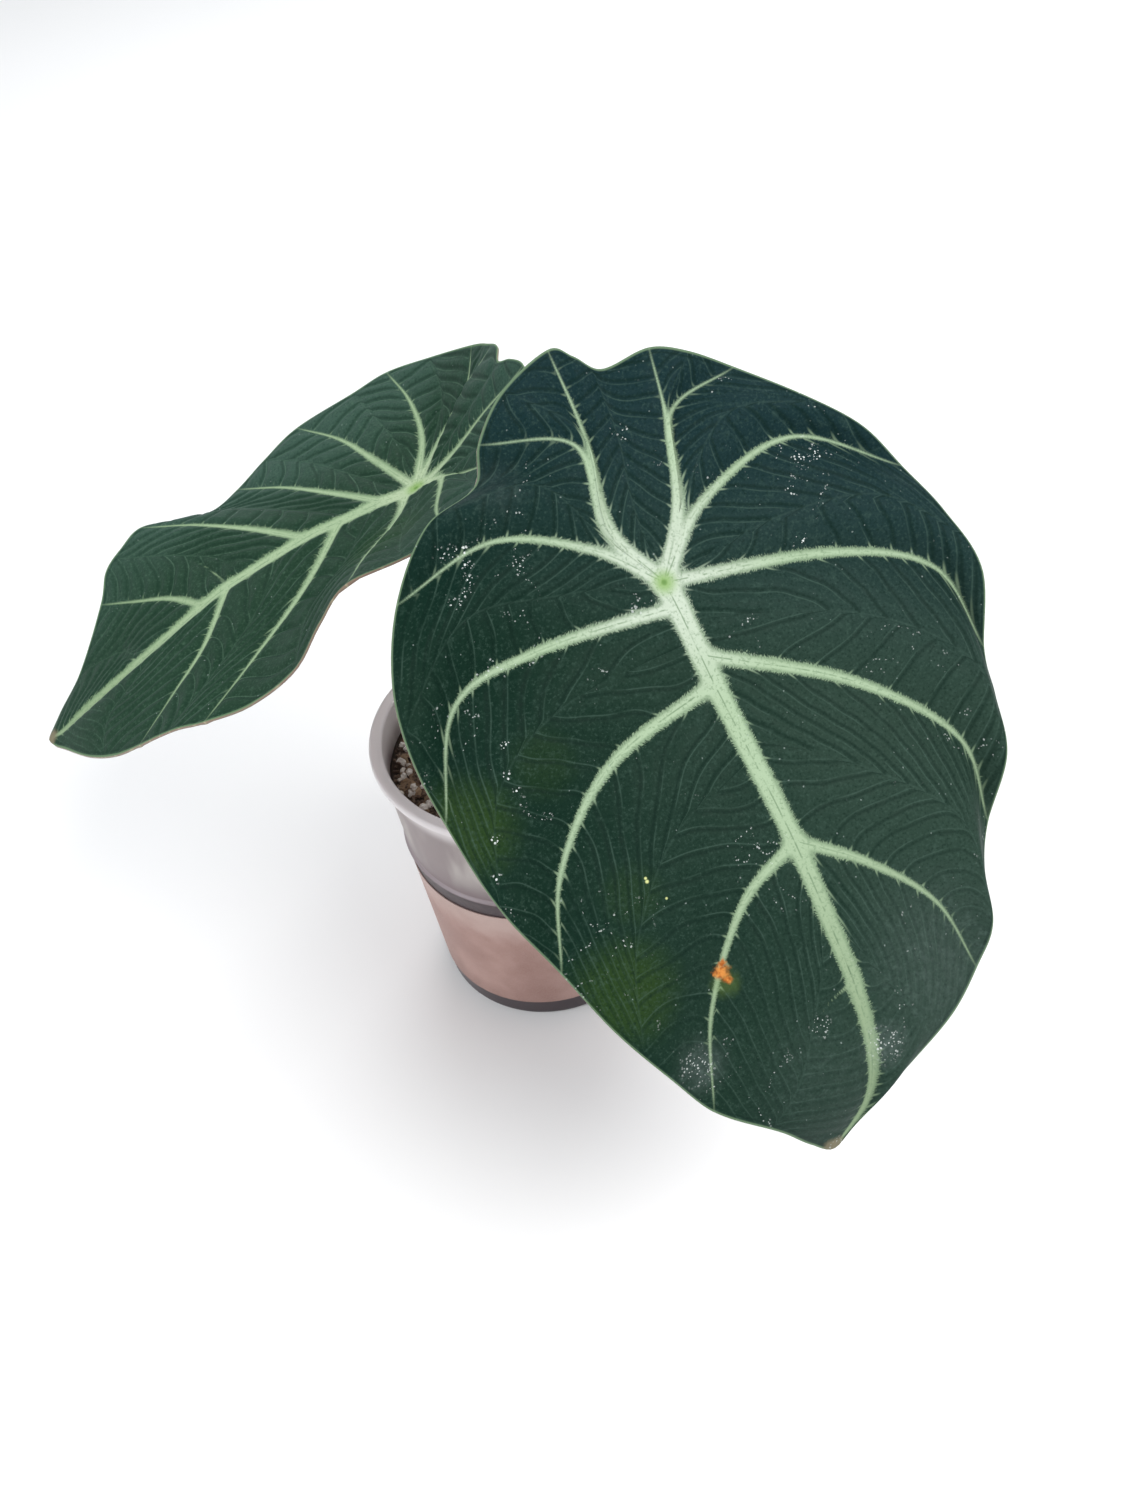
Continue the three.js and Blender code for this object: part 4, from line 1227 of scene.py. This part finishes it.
def potMaterial():
    # frosted plastic painted dark below the bead, with painted shadow at the foot, and with damp streaks
    # under a pale lip; heights in metres
    use = potSettings
    material, tree, shader = newMaterial("frosted_plastic")
    place = objectPlace(tree)
    height = separated(place)["Z"]
    streaks = noise(stretched(place, (1.0, 1.0, 0.28), (0.0, 0.75, 0.0)), 62.0, 3.0, 0.55)
    cloud = noise(place, 48.0, 3.0, 0.6)
    fine = noise(place, 1400.0, 2.0)
    damp = spread(streaks, 0.40, 0.60, 0.25, 1.0) * spread(cloud * 0.006 + height, 0.066, 0.080)
    # everything below the bead takes the dark colour: painted shadow at the foot under the label, and a
    # dark strip between the label and the bead
    base = layered(blend(cloud, use["dark"], use["light"]), [(height, 0.0645, 0.0625, 1.0, use["band"])])
    base = layered(blend(damp, base, use["damp"]), [
        (height, 0.0885, 0.0955, 1.0, use["lip"]),
        (abs(height - 0.0642), 0.0008, 0.0003, 0.75, use["ledge"]),
    ])
    setInputs(tree, shader, {
        "Base Color": base, "Roughness": damp * 0.18 + spread(cloud, 0.3, 0.7, 0.30, 0.42),
        "Transmission Weight": 0.3, "IOR": 1.49, "Normal": bump(cloud * 0.8 + fine * 0.2, 0.25, 0.0004)})
    return material


def makePot():
    use = potSettings
    plastic = potMaterial()
    pot = growNodes(turned("grow_pot", potProfile(), use["sides"], plastic), makeDrillTree(), {
        "Count": use["drainHoles"], "Ring": use["drainRing"] * mm, "Hole": use["drainRadius"] * mm,
        "Plastic": plastic})
    pot.data.shade_smooth()
    pot.data.set_sharp_from_angle(angle=math.radians(use["sharpAngle"]))
    return pot


labelSettings = {
    "bottom": 7.0, "top": 56.0, "arc": 336.0, "corner": 5.0, "lift": 0.08, "thickness": 0.32,
    "tilt": 0.9, "tiltFrom": 2.6, "columns": 260, "rows": 30, "sharpAngle": 50,
    "dark": (0.268, 0.145, 0.120), "light": (0.390, 0.242, 0.208), "upperTone": (0.475, 0.365, 0.330),
    "fibre": (0.540, 0.410, 0.375),
}


def labelMaterial():
    use = labelSettings
    material, tree, shader = newMaterial("label_paper")
    place = objectPlace(tree)
    cloud = noise(place, 38.0, 3.0, 0.6)
    fibres = noise(stretched(place, (1, 1, 2.2)), 2200.0, 3.0, 0.6)
    base = layered(use["dark"], [
        (cloud, 0.35, 0.68, 1.0, use["light"]),
        # lighter towards the top
        (cloud * 0.03 + separated(place)["Z"], 0.055, 0.072, 0.6, use["upperTone"]),
        (fibres, 0.4, 0.7, 0.2, use["fibre"]),
    ])
    setInputs(tree, shader, {
        "Base Color": base, "Roughness": spread(cloud, 0.3, 0.7, 0.42, 0.55),
        "Normal": bump(fibres, 0.25, 0.0001)})
    return material


def makeLabel():
    # an outer and an inner sheet with round corners, closed along their border
    use = labelSettings
    middle = wallRadius((use["bottom"] + use["top"]) / 2)
    length = math.radians(use["arc"]) * middle
    start = math.radians(90 + (360 - use["arc"]) / 2)
    points = []
    for offset in (use["lift"] + use["thickness"], use["lift"]):
        for k in range(use["columns"] + 1):
            walked = length * k / use["columns"]
            toCorner = max(0.0, use["corner"] - min(walked, length - walked))
            inset = use["corner"] - math.sqrt(max(0.0, use["corner"] ** 2 - toCorner**2))
            angle = start + walked / middle
            tilt = use["tilt"] * math.sin(angle + use["tiltFrom"])
            for height in np.linspace(use["bottom"] + inset, use["top"] - inset, use["rows"] + 1) + tilt:
                radius = wallRadius(height) + offset
                points.append((radius * math.cos(angle), radius * math.sin(angle), height))
    shape = (use["columns"] + 1, use["rows"] + 1)
    sheet = shape[0] * shape[1]
    grid = np.arange(sheet).reshape(shape)
    border = np.concatenate([grid[:, 0], grid[-1, 1:], grid[-2::-1, -1], grid[0, -2:0:-1]]).tolist()
    faces = gridFaces(shape, 0, False, False) + gridFaces(shape, sheet, True, False)
    faces += [(b, a, sheet + a, sheet + b) for a, b in zip(border, border[1:] + border[:1])]
    label = newPiece("pot_label", points, faces, [labelMaterial()])
    label.data.set_sharp_from_angle(angle=math.radians(use["sharpAngle"]))
    return label


floorSettings = {"size": 3.0, "cells": 8, "dim": (0.83, 0.83, 0.825), "bright": (0.86, 0.86, 0.855)}


def makeFloor():
    use = floorSettings
    material, tree, shader = newMaterial("paleFloor")
    base = blend(noise(objectPlace(tree), 3.0, 2.0), use["dim"], use["bright"])
    setInputs(tree, shader, {"Base Color": base, "Roughness": 0.8})
    shape = bmesh.new()
    bmesh.ops.create_grid(shape, x_segments=use["cells"], y_segments=use["cells"], size=use["size"])
    mesh = bpy.data.meshes.new("floor")
    shape.to_mesh(mesh)
    shape.free()
    mesh.materials.append(material)
    newObject("floor", mesh)


makeCamera()
makeLights()
makeFloor()
print("camera, light and floor made")

finishPiece(makePot(), "frosted_plastic", "pot")
finishPiece(makeLabel(), "label_paper", "label")
print("pot and label made")

soil = makeSoil()
for grains in makeGrains(soil, makeGrainTree()):
    finishPiece(grains, "potting_soil")
finishPiece(soil, "potting_soil", "soil")
finishPiece(makeTrunk(), "rhizome_bark", "rhizome")
print("soil and trunk made")

leaves = {"front": (frontLeaf, frontMarks, "dark"), "side": (sideLeaf, sideMarks, "green")}
stemTree = makeStemTree()
stemBark = stemMaterial()
for side, (leaf, *_) in leaves.items():
    stem = makeStem("stem_" + side, leaf, stemSettings["routes"][side], stemTree, stemBark)
    finishPiece(stem, "petiole_green", "petiole_" + side)
print("stems made")

for side, (leaf, marks, shade) in leaves.items():
    looks = [bladeMaterial("blade_" + shade, marks), underMaterial("under_" + shade)]
    finishPiece(makeBlade("blade_" + side, leaf, looks), "blade_" + shade, "leaf_" + side)
print("blades made")
